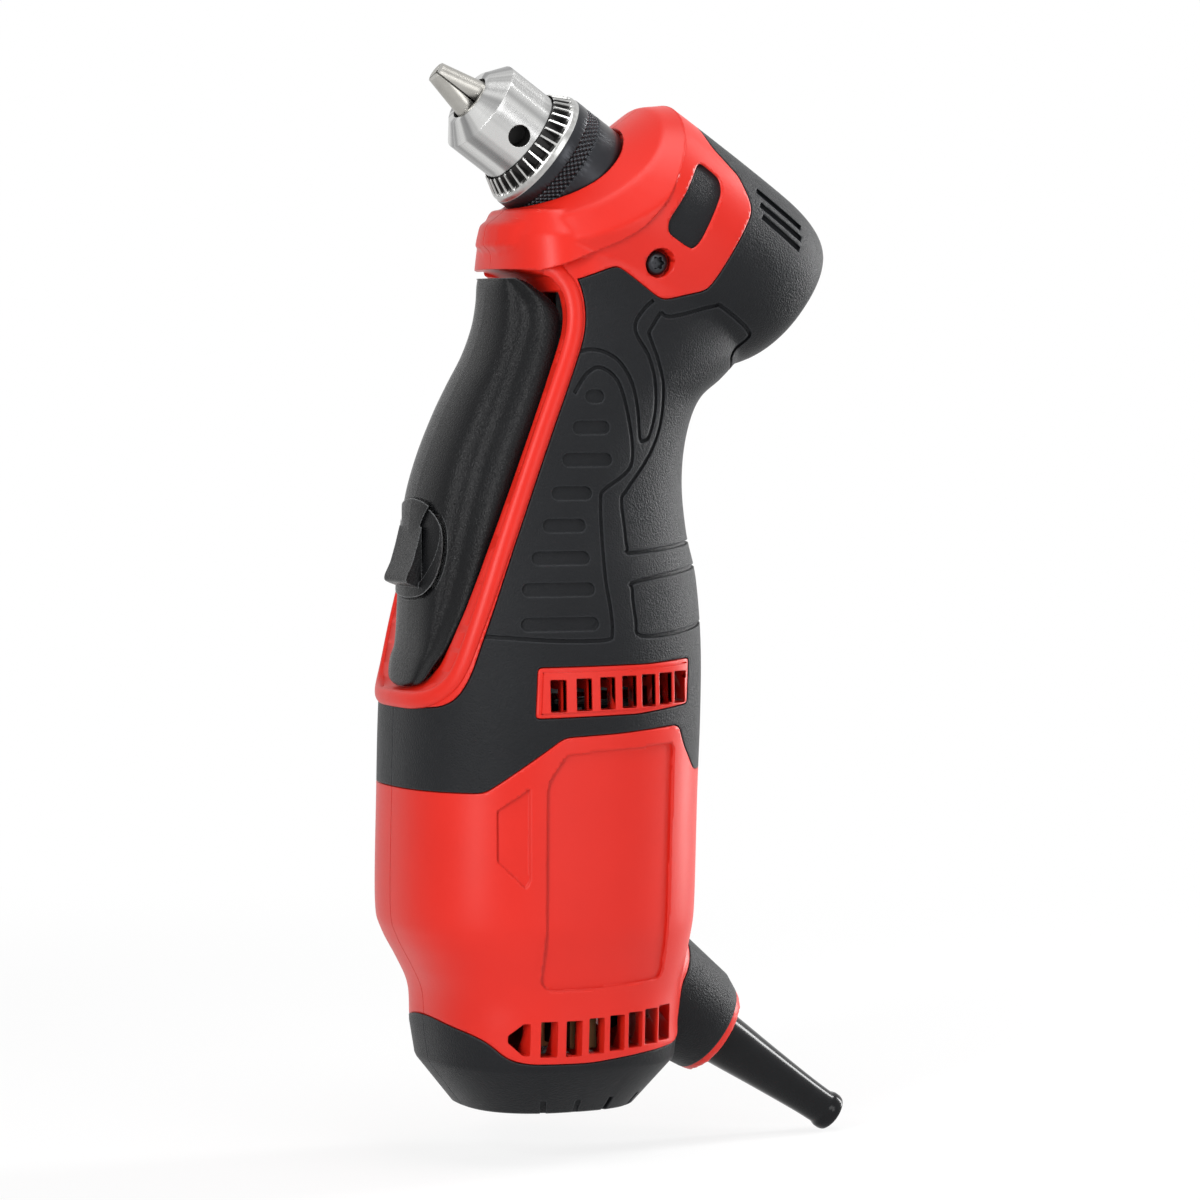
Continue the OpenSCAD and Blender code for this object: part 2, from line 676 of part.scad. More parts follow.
// Ribs, rings and bosses that carry what is inside one half
module inner_supports() intersection() {
    core_form();
    difference() {
        union() {
            // Rings around the stator and the lower bearing
            for (z = [stator_z + rib_t, stator_z + stator_len - 2 * rib_t, lower_bearing_z + rib_t])
                translate([-body_depth, -body_width, z]) cube([2 * body_depth, body_width, rib_t]);
            // Ledge around the bearing plate
            translate([-body_depth, -body_width, plate_z + rib_t]) cube([2 * body_depth, body_width, rib_t]);
            // Shelves below and above the switch
            for (z = [switch_z_share * tool_h - rib_t - seat_gap,
                switch_z_share * tool_h + switch_h + seat_gap])
                translate([switch_x, -body_width, z]) cube([switch_depth - rib_t, body_width, rib_t]);
            // Rings around the gear case
            head_frame() for (s = [rear_bush_s + rear_bush_w / 2, apex_s - 4 * rib_t])
                translate([-head_r, -head_r, s]) cube([2 * head_r, head_r, rib_t]);
            for (i = [0:len(housing_screw_shares) - 1]) translate(screw_place(i))
                along_y(boss_r, -half_width, 0, 10);
            translate([paddle_pin_x_share * body_depth, 0, paddle_pin_z_share * tool_h])
                along_y(paddle_hub_r, -half_width, -paddle_hub_half - run_gap, 10);
            translate([case_screw_x_share * body_depth, 0, case_screw_z_share * tool_h])
                along_y(boss_r, -half_width, -case_r, 10);
        }
        translate([0, 0, stator_z - overrun])
            cylinder(r = clear_r(stator_r + seat_gap, 24), h = stator_len + 2 * overrun, $fn = 24);
        translate([0, 0, lower_bearing_z])
            cylinder(r = clear_r(motor_bearing_r + seat_gap, 14), h = motor_bearing_w, $fn = 14);
        translate([0, 0, plate_z - overrun]) linear_extrude(height = plate_t + 2 * overrun)
            offset(delta = seat_gap) plate_outline(36);
        head_frame() translate([0, 0, -head_len])
            cylinder(r = clear_r(case_r + seat_gap, 20), h = head_len + front_bearing_s, $fn = 20);
        translate([layshaft_x, 0, 0]) cylinder(r = clear_r(lay_tube_r + seat_gap, 16), h = head_z, $fn = 16);
        // Room for the paddle and its hub
        paddle_form(-paddle_gap, 1);
        at_pin() along_y(paddle_hub_r + paddle_gap, -paddle_hub_half - paddle_gap, overrun, 12);
    }
}
module half_shell(screw_heads) difference() {
    union() {
        difference() {
            outer_form();
            cavity_form();
            side_prism() opening_outline();
        }
        difference() {
            inner_supports();
            side_prism() offset(delta = paddle_gap) opening_outline();
        }
        intersection() {
            cord_form(skin_t);
            cord_frame() translate([0, 0, -2 * boot_neck - boot_flange_t])
                cylinder(r = cord_boss_r, h = 3 * boot_neck, $fn = 20);
        }
    }
    difference() {
        side_prism() {
            grip_outline();
            end_outline();
            pad_outline();
        }
        core_form();
        mirror([0, 1, 0]) near_side();
    }
    upper_vent_cuts();
    lower_vent_cuts();
    // Room for the paddle's hub, and seats of the gear case and of the brush holder in the wall
    at_pin() along_y(paddle_hub_r + paddle_gap, -paddle_hub_half - run_gap, overrun, 20);
    head_frame() translate([0, 0, rear_bush_s - seat_gap])
        cylinder(r = clear_r(case_r + seat_gap, 44),
            h = front_bearing_s + front_bearing_w - rear_bush_s + seat_gap + run_gap, $fn = 44);
    translate([-brush_w / 2 - brush_wall - seat_gap, -brush_end_y - seat_gap,
        brush_z - brush_h / 2 - brush_wall - seat_gap])
        cube([brush_w + 2 * brush_wall + 2 * seat_gap, half_width, brush_h + 2 * brush_wall + 2 * seat_gap]);
    // Chuck opening in the collar and the way for the spindle
    head_frame() {
        translate([0, 0, sleeve_rear_s - overrun])
            cylinder(r = clear_r(sleeve_r + collar_gap, 40), h = head_len, $fn = 40);
        translate([0, 0, -head_len / 2]) cylinder(r = front_bearing_r - case_wall,
            h = head_len / 2 + sleeve_rear_s, $fn = 20);
    }
    // Seat of the boot
    cord_frame() {
        translate([0, 0, -cord_boss_len])
            cylinder(r = clear_r(boot_r + seat_gap, 20), h = 2 * cord_boss_len, $fn = 20);
        translate([0, 0, -boot_neck - boot_flange_t - seat_gap])
            cylinder(r = clear_r(boot_flange_r + seat_gap, 20), h = boot_flange_t + 2 * seat_gap, $fn = 20);
    }
    // Recessed panels
    intersection() {
        surface_layer(panel_depth);
        side_prism() {
            offset(r = trim_w / 4, $fn = 16) offset(delta = -trim_w / 4) polygon(side_points(panel_shares));
            offset(r = trim_w / 4, $fn = 16) offset(delta = -trim_w / 4) polygon(side_points(notch_shares));
        }
    }
    // Screw holes
    for (i = [0:len(housing_screw_shares) - 1]) translate(screw_place(i)) {
        along_y(clear_r(screw_r + seat_gap, 8), screw_heads ? -body_width : -screw_reach - overrun,
            overrun, 8);
        if (screw_heads) along_y(clear_r(screw_head_r + seat_gap, 10), -body_width, -screw_seat_y, 10);
    }
    translate([case_screw_x_share * body_depth, 0, case_screw_z_share * tool_h]) {
        along_y(clear_r(case_screw_r + seat_gap, 8), -body_width, 0, 8);
        along_y(case_well_r, -body_width, -case_screw_seat_y, 16);
    }
    // Holes for the paddle pin
    translate([paddle_pin_x_share * body_depth, 0, paddle_pin_z_share * tool_h])
        along_y(clear_r(paddle_pin_r + fit_gap, 16), -paddle_pin_half - seat_gap, 0, 16);
}
module housing_left() color(red) half_shell(false);
module housing_right() color(red) mirror([0, 1, 0]) half_shell(true);

module grip_half(screw_heads) difference() {
    skin_in() grip_outline();
    for (r = recess_shares) intersection() {
        surface_layer(recess_depth);
        hull() for (x = [r.x * body_depth + recess_h / 2, r.y * body_depth - recess_h / 2])
            translate([x, 0, r.z * tool_h]) rotate([90, 0, 0])
                cylinder(d = recess_h, h = body_width, $fn = 8);
    }
    intersection() {
        surface_layer(groove_depth);
        side_prism() {
            groove_line(groove_arch_shares);
            groove_line(groove_blade_shares);
            groove_line(groove_rear_shares);
            groove_line(groove_box_shares);
            groove_line(groove_head_shares);
            for (rib = head_rib_shares) groove_line(rib);
        }
    }
    head_frame() cylinder(r = clear_r(sleeve_r + collar_gap, 40), h = head_len, $fn = 40);
    if (screw_heads) for (i = [0:len(housing_screw_shares) - 1]) translate(screw_place(i))
        along_y(clear_r(screw_head_r + seat_gap, 10), -body_width, -screw_seat_y, 10);
}
module grip_overmould_left() color(black) grip_half(false);
module grip_overmould_right() color(black) mirror([0, 1, 0]) grip_half(true);

module end_half(screw_heads) difference() {
    skin_in() end_outline();
    lower_vent_cuts();
    if (screw_heads) for (i = [0:1]) translate(screw_place(i))
        along_y(clear_r(screw_head_r + seat_gap, 10), -body_width, -screw_seat_y, 10);
}
module end_overmould_left() color(black) end_half(false);
module end_overmould_right() color(black) mirror([0, 1, 0]) end_half(true);

module head_pad_half() skin_in() pad_outline();
module head_pad_left() color(black) head_pad_half();
module head_pad_right() color(black) mirror([0, 1, 0]) head_pad_half();

module gear_case_screws() color(dark_steel) for (side = [0, 1]) mirror([0, side, 0])
    translate([case_screw_x_share * body_depth, 0, case_screw_z_share * tool_h]) {
        along_y(case_screw_r, -case_screw_seat_y, -case_screw_seat_y + case_screw_reach, 48);
        along_y(case_screw_head_r, -case_screw_seat_y - case_screw_head_h, -case_screw_seat_y, 48);
    }
module housing_screws() color(dark_steel) for (i = [0:len(housing_screw_shares) - 1])
    translate(screw_place(i)) {
    along_y(screw_r, -screw_reach, screw_seat_y, 48);
    along_y(screw_head_r, screw_seat_y, screw_seat_y + screw_head_h, 48);
}

// Half ring of the paddle at one row, with a shallow flute on the flank
function paddle_ring(row, inset) =
    let (
        front = -row[1] * half_depth + inset,
        back = abs(inset) - row[2] * half_depth,
        wide = max(row[3] * half_width - inset, inset)
    )
    [for (i = [0:paddle_sides]) let (t = 180 * i / paddle_sides, v = abs(cos(t)),
        f = max(0, 1 - abs(v - flute_at_share) / flute_half_share)) [
        back - (back - front) * power_of(max(0, sin(t)), paddle_power),
        -wide * power_of(cos(t), paddle_power) * (1 - flute_depth * f * f * (3 - 2 * f) / max(wide,
            flute_depth * 4)),
        row[0] * tool_h
    ]];
// Closed solid from full rings
module ring_loft(rings) {
    n = len(rings[0]);
    m = len(rings);
    skin = [for (k = [0:m - 2], i = [0:n - 1]) let (a = k * n + i,
        b = k * n + (i + 1) % n) each [[a, b + n, a + n], [a, b, b + n]]];
    foot = [[for (i = [n - 1:-1:0]) i]];
    top = [[for (i = [0:n - 1]) (m - 1) * n + i]];
    polyhedron(points = [for (ring = rings) each ring], faces = concat(skin, foot, top));
}
module paddle_form(inset = 0, steps = 2) ring_loft([for (row = smooth_rows(paddle_shares, steps))
    paddle_ring(row, inset)]);
module pocket_outline() polygon(side_points(pocket_shares));
// Bar that stiffens the paddle from side to side behind its front wall
module cross_bar(row) hull() for (side = [-1, 1])
    translate([2 * paddle_wall - row[1] * half_depth, side * row[3] * half_width, row[0] * tool_h])
        rotate([90, 0, 0]) cylinder(d = rib_t, h = overrun, center = true, $fn = 6);
module at_pin() translate([paddle_pin_x_share * body_depth, 0, paddle_pin_z_share * tool_h]) children();
module paddle() color(black) difference() {
    union() {
        difference() {
            paddle_form();
            intersection() {
                paddle_form(paddle_wall, 1);
                translate([-body_depth, -body_width, paddle_shares[3][0] * tool_h])
                    cube([2 * body_depth, 2 * body_width,
                        (paddle_shares[13][0] - paddle_shares[3][0]) * tool_h]);
            }
        }
        intersection() {
            paddle_form(overrun);
            union() {
                side_prism() offset(delta = pocket_wall) pocket_outline();
                for (i = bar_rows) cross_bar(paddle_shares[i]);
                // Post that pushes the switch plunger
                translate([-body_depth, 0, plunger_z_share * tool_h]) rotate([0, 90, 0])
                    cylinder(r = post_r, h = body_depth + switch_x - plunger_out - run_gap, $fn = 8);
            }
        }
        at_pin() along_y(paddle_hub_r, -paddle_hub_half, paddle_hub_half, 12);
    }
    side_prism() pocket_outline();
    at_pin() along_y(clear_r(paddle_pin_r + fit_gap, 24), -body_width, body_width, 24);
}
module paddle_pin() color(steel) at_pin() along_y(paddle_pin_r, -paddle_pin_half, paddle_pin_half, 48);
module reverse_selector() color(black) difference() {
    union() {
        intersection() {
            paddle_form(-seat_gap);
            side_prism() offset(delta = -run_gap) pocket_outline();
            translate([-body_depth, -selector_half_w, 0]) cube([2 * body_depth, 2 * selector_half_w, tool_h]);
        }
        rotate([90, 0, 0]) linear_extrude(height = selector_half_w, center = true)
            polygon(side_points(selector_lip_shares));
    }
    for (side = [-1, 1]) translate([
        (pocket_shares[2].x + pocket_shares[1].x) / 2 * body_depth,
            side * (selector_half_w + selector_dish_r - selector_dish),
        (pocket_shares[3].y + pocket_shares[4].y) / 2 * tool_h
    ]) sphere(r = selector_dish_r, $fn = 14);
}

module switch_body() color(black) difference() {
    translate([switch_x, -switch_half_w, switch_z_share * tool_h])
        cube([switch_depth, 2 * switch_half_w, switch_h]);
    translate([switch_x - overrun, 0, plunger_z_share * tool_h]) rotate([0, 90, 0])
        cylinder(r = plunger_r + fit_gap, h = plunger_in + plunger_out + overrun);
}
module switch_plunger() color(steel) translate([switch_x - plunger_out, 0, plunger_z_share * tool_h])
    rotate([0, 90, 0])
    cylinder(r = plunger_r, h = plunger_out + plunger_in);

module cord_boot() color(black) cord_frame() rotate_extrude() polygon([
    [cord_r, -boot_neck - boot_flange_t], [boot_flange_r, -boot_neck - boot_flange_t],
        [boot_flange_r, -boot_neck],
    [boot_r, -boot_neck], [boot_r, 0], [boot_r, boot_neck], [(boot_r * 2 + boot_tip_r) / 3, boot_len / 2],
    [boot_tip_r, boot_len - 2 * boot_lip_t], [boot_tip_r + boot_lip, boot_len - boot_lip_t],
    [boot_tip_r + boot_lip, boot_len - boot_lip_t / 2], [boot_tip_r, boot_len], [cord_r, boot_len]
]);

// Outward lean of one jaw, about the chuck axis
module jaw_frame(i) rotate([0, 0, 120 * i + chuck_turn]) translate([0, 0, jaw_tip_s])
    rotate([0, -jaw_lean, 0]) children();
module jaw(i) color(steel) head_frame() intersection() {
    difference() {
        jaw_frame(i) translate([-jaw_r + jaw_tip_r, 0, -jaw_len])
            cylinder(r = jaw_r, h = jaw_len + 2 * jaw_r);
        translate([0, 0, -head_len]) cylinder(r = grip_r, h = 2 * head_len);
    }
    rotate([0, 0, 120 * i + chuck_turn]) translate([0, 0, -head_len])
        linear_extrude(height = head_len + jaw_tip_s)
        polygon([[jaw_split, 0], [jaw_split + head_r / 2, -head_r / 2 * sqrt(3)], [2 * head_r, 0],
            [jaw_split + head_r / 2, head_r / 2 * sqrt(3)]]);
}
module jaw_1() jaw(0);
module jaw_2() jaw(1);
module jaw_3() jaw(2);
module jaw_bores() for (i = [0:2]) jaw_frame(i) translate([-jaw_r + jaw_tip_r, 0, -2 * jaw_len])
    cylinder(r = jaw_r + jaw_bore_gap, h = 4 * jaw_len);
// Distance of a jaw's outer side from the chuck axis at a station
function jaw_reach(at) = (jaw_tip_s - at) * tan(jaw_lean) + jaw_tip_r - jaw_r + jaw_r / cos(jaw_lean);
module chuck_body() color(steel) head_frame() difference() {
    rotate_extrude() polygon([
        [0, sleeve_rear_s], [back_r - back_edge, sleeve_rear_s], [back_r, sleeve_rear_s + back_edge],
        [back_r, nut_s - nut_gap], [waist_r, nut_s - nut_gap], [waist_r, nut_s + nut_len + nut_gap],
        [nose_r, nut_s + nut_len + nut_gap], [nose_r, rim_s - cone_len], [rim_r, rim_s], [0, rim_s]
    ]);
    intersection() {
        jaw_bores();
        translate([0, 0, jaw_tip_s - (jaw_len + jaw_travel) * cos(jaw_lean) - jaw_r])
            cylinder(r = sleeve_r, h = head_len);
    }
    translate([0, 0, rim_s - nose_bore_depth]) cylinder(r = nose_bore_r, h = nose_bore_depth + overrun);
    cylinder(r = chuck_screw_head_r + run_gap, h = head_len);
    translate([0, 0, sleeve_rear_s - overrun]) cylinder(r = thread_r + fit_gap, h = thread_len + overrun);
    cylinder(r = chuck_screw_r + fit_gap, h = head_len, center = true);
    for (i = [0:2]) rotate([0, 0, 120 * i + chuck_turn + key_turn])
        translate([nose_r - key_depth, 0, key_s]) rotate([0, 90, 0])
        cylinder(r = key_r, h = key_depth + overrun);
}
// Star outline of the toothed ring, with sloping flanks
module ring_star() {
    step = 360 / ring_teeth;
    low = sleeve_r - ring_tooth_h;
    high = sleeve_r + overrun;
    polygon([for (i = [0:ring_teeth - 1], p = [
        [low, -ring_root_share], [high, -ring_tip_share], [high, ring_tip_share], [low, ring_root_share]
    ])
        p[0] * [cos(step * (i + p[1])), sin(step * (i + p[1]))]]);
}
module chuck_sleeve() color(dark_steel) head_frame() {
    rotate_extrude() polygon([
        [sleeve_bore_r, sleeve_rear_s + sleeve_set], [sleeve_r - sleeve_edge, sleeve_rear_s + sleeve_set],
        [sleeve_r, sleeve_rear_s + sleeve_set + sleeve_edge], [sleeve_r, ring_s], [nose_r + run_gap, ring_s],
        [nose_r + run_gap, ring_s - nut_gap], [sleeve_bore_r, ring_s - nut_gap]
    ]);
    intersection() {
        rotate_extrude() polygon([
            [nose_r + run_gap, ring_s - nut_gap], [sleeve_r, ring_s - nut_gap], [sleeve_r, ring_s],
            [nose_r + run_gap + sleeve_wall / 4, nose_root_s], [nose_r + run_gap, nose_root_s]
        ]);
        translate([0, 0, ring_s - overrun]) linear_extrude(height = 2 * ring_len) ring_star();
    }
}
module chuck_nut() color(dark_steel) head_frame() rotate_extrude() polygon([
    [jaw_reach(nut_s) + nut_gap, nut_s], [sleeve_bore_r - fit_gap, nut_s],
        [sleeve_bore_r - fit_gap, nut_s + nut_len],
    [jaw_reach(nut_s + nut_len) + nut_gap, nut_s + nut_len]
]);
module chuck_screw() color(dark_steel) head_frame() {
    cylinder(r = chuck_screw_head_r, h = chuck_screw_head_h);
    translate([0, 0, -chuck_screw_reach]) cylinder(r = chuck_screw_r, h = chuck_screw_reach);
}

module spindle() color(steel) head_frame() difference() {
    rotate_extrude() polygon([
        [0, rear_bush_s], [spindle_r, rear_bush_s], [spindle_r, sleeve_rear_s],
        [thread_r, sleeve_rear_s], [thread_r, sleeve_rear_s + thread_len], [0, sleeve_rear_s + thread_len]
    ]);
    translate([0, 0, -chuck_screw_reach - overrun]) cylinder(r = chuck_screw_r + fit_gap, h = head_len);
}

// Bevel gear with its apex at the origin and its body below
module bevel_space(cone, module_size, long) {
    far = long * bevel_far_share;
    ratio = far / long;
    pitch = PI * module_size;
    top = (bevel_add_share + bevel_ded_share) * module_size * ratio;
    low = bevel_ded_share * module_size * ratio;
    wide = (1 - bevel_thick_share + gear_taper_share) * pitch / 2 * ratio;
    slim = (1 - bevel_thick_share - 2 * gear_taper_share) * pitch / 2 * ratio;
    rotate([0, -cone, 0]) mirror([0, 0, 1]) mirror([1, 0, 0]) polyhedron(
        points = [[0, 0, 0], [low, -slim, far], [low, slim, far], [-top, wide, far], [-top, -wide, far]],
        faces = [[0, 1, 2], [0, 2, 3], [0, 3, 4], [0, 4, 1], [1, 3, 2], [1, 4, 3]]
    );
}
module bevel_blank(cone, module_size, long, face, bore, hub) {
    tip = bevel_add_share * module_size;
    heel = [long * sin(cone) + tip * cos(cone), -long * cos(cone) + tip * sin(cone)];
    short = long - face;
    toe = heel * short / long;
    back = heel - [cos(cone), sin(cone)] * (tip + bevel_back_share * module_size);
    rotate_extrude() polygon([
        [bore, toe.y - module_size], [toe.x - bevel_toe_share * module_size, toe.y - module_size], toe,
            heel, back,
        [back.x - module_size / 4, back.y - hub], [bore, back.y - hub]
    ]);
}
module bevel_gear() color(steel) head_frame() translate([0, 0, apex_s]) difference() {
    bevel_blank(bevel_cone, bevel_module, cone_dist, bevel_face, spindle_r, bevel_hub);
    for (i = [0:bevel_teeth - 1]) rotate([0, 0, 180 + 360 / bevel_teeth * i])
        bevel_space(bevel_cone, bevel_module, cone_dist);
}
module bevel_pinion() color(steel) translate([layshaft_x, 0, apex_z]) difference() {
    bevel_blank(pinion_cone, bevel_module, cone_dist, bevel_face, layshaft_r / 2, bevel_hub);
    for (i = [0:pinion_teeth - 1]) rotate([0, 0, 360 / pinion_teeth * (i + 0.5)])
        bevel_space(pinion_cone, bevel_module, cone_dist);
}

// Spur gear outline with straight sided teeth
module spur_outline(teeth, turn) {
    r = gear_module * teeth / 2;
    tip = r + gear_add_share * gear_module;
    root = r - gear_ded_share * gear_module;
    step = 360 / teeth;
    thick = step * gear_thick_share / 2;
    taper = step * gear_taper_share / 2;
    rotate(turn) polygon([for (i = [0:teeth - 1]) each [
        for (p = [[root, -step / 2], [root, -thick - taper], [tip, -thick + taper], [tip, thick - taper],
            [root, thick + taper]])
            p[0] * [cos(step * i + p[1]), sin(step * i + p[1])]
    ]]);
}
module first_gear() color(steel) translate([layshaft_x, 0, first_gear_z]) difference() {
    linear_extrude(height = first_gear_t) spur_outline(first_teeth, 180);
    translate([0, 0, -overrun]) cylinder(r = layshaft_r, h = first_gear_t + 2 * overrun);
}
module layshaft() color(steel) translate([layshaft_x, 0, plate_z]) {
    cylinder(r = layshaft_r, h = lay_bearing_z + layshaft_bearing_w - plate_z);
    cylinder(r = layshaft_r / 2, h = apex_z - cone_dist + bevel_face - plate_z);
}

module ball_bearing(bore, r, w) {
    rotate_extrude() polygon([[bore, 0], [r, 0], [r, w], [bore, w]]);
}
module front_bearing() color(steel) head_frame() translate([0, 0, front_bearing_s])
    ball_bearing(spindle_r, front_bearing_r, front_bearing_w);
module rear_bush() color(bronze) head_frame() translate([0, 0, rear_bush_s])
    ball_bearing(spindle_r + fit_gap, rear_bush_r, rear_bush_w);
module layshaft_bearing() color(steel) translate([layshaft_x, 0, lay_bearing_z])
    ball_bearing(layshaft_r, layshaft_bearing_r, layshaft_bearing_w);
module layshaft_bush() color(bronze) translate([layshaft_x, 0, plate_z])
    ball_bearing(layshaft_r + fit_gap, layshaft_bush_r, plate_t);

module case_cavity() {
    head_frame() {
        rotate_extrude() polygon([
            [0, rear_bush_s + rear_bush_w], [case_r - case_wall, rear_bush_s + rear_bush_w + case_rear_wall],
            [case_r - case_wall, front_bearing_s - case_rear_wall],
                [spindle_r + case_wall, front_bearing_s], [0, front_bearing_s]
        ]);
        translate([0, 0, front_bearing_s]) cylinder(r = front_bearing_r, h = front_bearing_w + overrun);
        translate([0, 0, rear_bush_s - overrun]) cylinder(r = rear_bush_r, h = head_len);
    }
    translate([layshaft_x, 0, lay_bearing_z]) cylinder(r = layshaft_bearing_r, h = apex_z - lay_bearing_z);
    translate([layshaft_x, 0, lay_bearing_z - lay_tube_drop])
        cylinder(r = layshaft_r + run_gap, h = apex_z - lay_bearing_z);
}
module gear_case() color(alloy) difference() {
    union() {
        head_frame() translate([0, 0, rear_bush_s])
            cylinder(r = case_r, h = front_bearing_s + front_bearing_w - rear_bush_s);
        translate([layshaft_x, 0, lay_bearing_z - lay_tube_drop / 4])
            cylinder(r = lay_tube_r, h = apex_z - cone_dist + bevel_face - lay_bearing_z);
    }
    case_cavity();
    for (side = [0, 1]) mirror([0, side, 0])
        translate([case_screw_x_share * body_depth, 0, case_screw_z_share * tool_h])
        along_y(case_screw_r, -body_width, -case_screw_seat_y + case_screw_reach, 48);
}
module plate_outline(sides) {
    circle(r = motor_bearing_r + plate_wall, $fn = sides);
    translate([layshaft_x, 0]) circle(r = layshaft_bush_r + plate_wall, $fn = sides);
}
module bearing_plate() color(alloy) translate([0, 0, plate_z]) difference() {
    linear_extrude(height = plate_t) plate_outline(64);
    translate([0, 0, -overrun]) cylinder(r = motor_bearing_r, h = plate_t + 2 * overrun);
    translate([layshaft_x, 0, -overrun]) cylinder(r = layshaft_bush_r, h = plate_t + 2 * overrun);
}

module armature_shaft() color(steel) {
    translate([0, 0, lower_bearing_z]) cylinder(r = shaft_r, h = plate_z + plate_t - lower_bearing_z);
    translate([0, 0, plate_z + plate_t]) cylinder(r = gear_module * (motor_teeth / 2 - gear_ded_share),
        h = shaft_top_z - plate_z - plate_t);
    translate([0, 0, first_gear_z - overrun]) linear_extrude(height = motor_pinion_t)
        spur_outline(motor_teeth, 180 / motor_teeth);
}
module armature_core() color(dark_steel) translate([0, 0, stator_z]) linear_extrude(height = stator_len)
    difference() {
    circle(r = armature_r, $fn = 64);
    circle(r = shaft_r, $fn = 14);
    for (i = [0:armature_slots - 1]) rotate(360 / armature_slots * (i + 0.5))
        translate([armature_r - slot_d, -slot_w / 2]) square([slot_d + overrun, slot_w]);
}
module armature_windings() color(copper) for (z = [stator_z - winding_h, stator_z + stator_len])
    translate([0, 0, z])
    rotate_extrude() polygon([
        [shaft_r, 0], [winding_r - winding_h / 4, 0], [winding_r, winding_h / 4],
            [winding_r, 3 * winding_h / 4],
        [winding_r - winding_h / 4, winding_h], [shaft_r, winding_h]
    ]);
module commutator() color(copper) translate([0, 0, commutator_z]) difference() {
    cylinder(r = commutator_r, h = commutator_len);
    translate([0, 0, -overrun]) cylinder(r = shaft_r, h = commutator_len + 2 * overrun);
}
module cooling_fan() color(black) translate([0, 0, fan_z]) difference() {
    union() {
        cylinder(r = fan_r, h = fan_plate_t);
        cylinder(r = fan_hub_r, h = fan_h);
        intersection() {
            cylinder(r = fan_r, h = fan_h);
            for (i = [0:fan_blades - 1]) rotate([0, 0, 360 / fan_blades * i])
                translate([0, -blade_t / 2, 0]) cube([fan_r + overrun, blade_t, fan_h]);
        }
    }
    translate([0, 0, -overrun]) cylinder(r = shaft_r, h = fan_h + 2 * overrun);
}
module lower_bearing() color(steel) translate([0, 0, lower_bearing_z])
    ball_bearing(shaft_r, motor_bearing_r, motor_bearing_w);
module upper_bearing() color(steel) translate([0, 0, plate_z])
    ball_bearing(shaft_r, motor_bearing_r, motor_bearing_w);

// Arc of the coil section between two angles
module coil_arc(from, to, low, high) rotate([0, 0, from]) rotate_extrude(angle = to - from)
    translate([armature_r + air_gap + coil_in, low]) square([coil_out - coil_in, high - low]);
coil_side = 24;
slot_ease = 1.5;
module stator_core() color(dark_steel) translate([0, 0, stator_z]) difference() {
    cylinder(r = stator_r, h = stator_len);
    translate([0, 0, -overrun]) cylinder(r = armature_r + air_gap, h = stator_len + 2 * overrun);
    for (pole = [0, 180], side = [-1, 1]) rotate([0, 0, pole + side * coil_half])
        rotate([0, 0, -coil_side / 2 - slot_ease])
        rotate_extrude(angle = coil_side + 2 * slot_ease)
            translate([armature_r + air_gap + coil_in - seat_gap, -overrun])
            square([coil_out - coil_in + 2 * seat_gap, stator_len + 2 * overrun]);
}
module field_coils() color(copper) for (pole = [0, 180]) rotate([0, 0, pole]) difference() {
    coil_arc(-coil_half - coil_side / 2, coil_half + coil_side / 2, stator_z - coil_end,
        stator_z + stator_len + coil_end);
    rotate([0, 0, coil_side / 2 - coil_half]) rotate_extrude(angle = 2 * coil_half - coil_side)
        translate([armature_r, stator_z - seat_gap])
            square([stator_r - armature_r, stator_len + 2 * seat_gap]);
}
module brush_holders() color(bronze) for (side = [0, 1]) mirror([0, side, 0]) difference() {
    translate([-brush_w / 2 - brush_wall, -brush_end_y, brush_z - brush_h / 2 - brush_wall])
        cube([brush_w + 2 * brush_wall, brush_end_y - commutator_r - overrun, brush_h + 2 * brush_wall]);
    translate([-brush_w / 2 - fit_gap, -brush_end_y + brush_wall, brush_z - brush_h / 2 - fit_gap])
        cube([brush_w + 2 * fit_gap, half_width, brush_h + 2 * fit_gap]);
}
module carbon_brushes() color(dark_steel) for (side = [0, 1]) mirror([0, side, 0])
    translate([-brush_w / 2, -commutator_r - brush_gap - brush_len, brush_z - brush_h / 2])
        cube([brush_w, brush_len, brush_h]);

// The whole tool is set down so that its foot lies on z = 0
module on_foot() translate([0, 0, -body_shares[0][0] * tool_h]) children();

on_foot() housing_left();
on_foot() housing_right();
on_foot() grip_overmould_left();
on_foot() grip_overmould_right();
on_foot() end_overmould_left();
on_foot() end_overmould_right();
on_foot() head_pad_left();
on_foot() head_pad_right();
on_foot() gear_case_screws();
on_foot() housing_screws();
on_foot() paddle();
on_foot() paddle_pin();
on_foot() reverse_selector();
on_foot() switch_body();
on_foot() switch_plunger();
on_foot() cord_boot();
on_foot() chuck_body();
on_foot() chuck_sleeve();
on_foot() chuck_nut();
on_foot() chuck_screw();
on_foot() jaw_1();
on_foot() jaw_2();
on_foot() jaw_3();
on_foot() spindle();
on_foot() bevel_gear();
on_foot() front_bearing();
on_foot() rear_bush();
on_foot() gear_case();
on_foot() layshaft();
on_foot() bevel_pinion();
on_foot() first_gear();
on_foot() layshaft_bearing();
on_foot() layshaft_bush();
on_foot() bearing_plate();
on_foot() armature_shaft();
on_foot() armature_core();
on_foot() armature_windings();
on_foot() commutator();
on_foot() cooling_fan();
on_foot() lower_bearing();
on_foot() upper_bearing();
on_foot() stator_core();
on_foot() field_coils();
on_foot() brush_holders();
on_foot() carbon_brushes();
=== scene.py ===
import json
import math
import bpy
from mathutils import Matrix, Vector

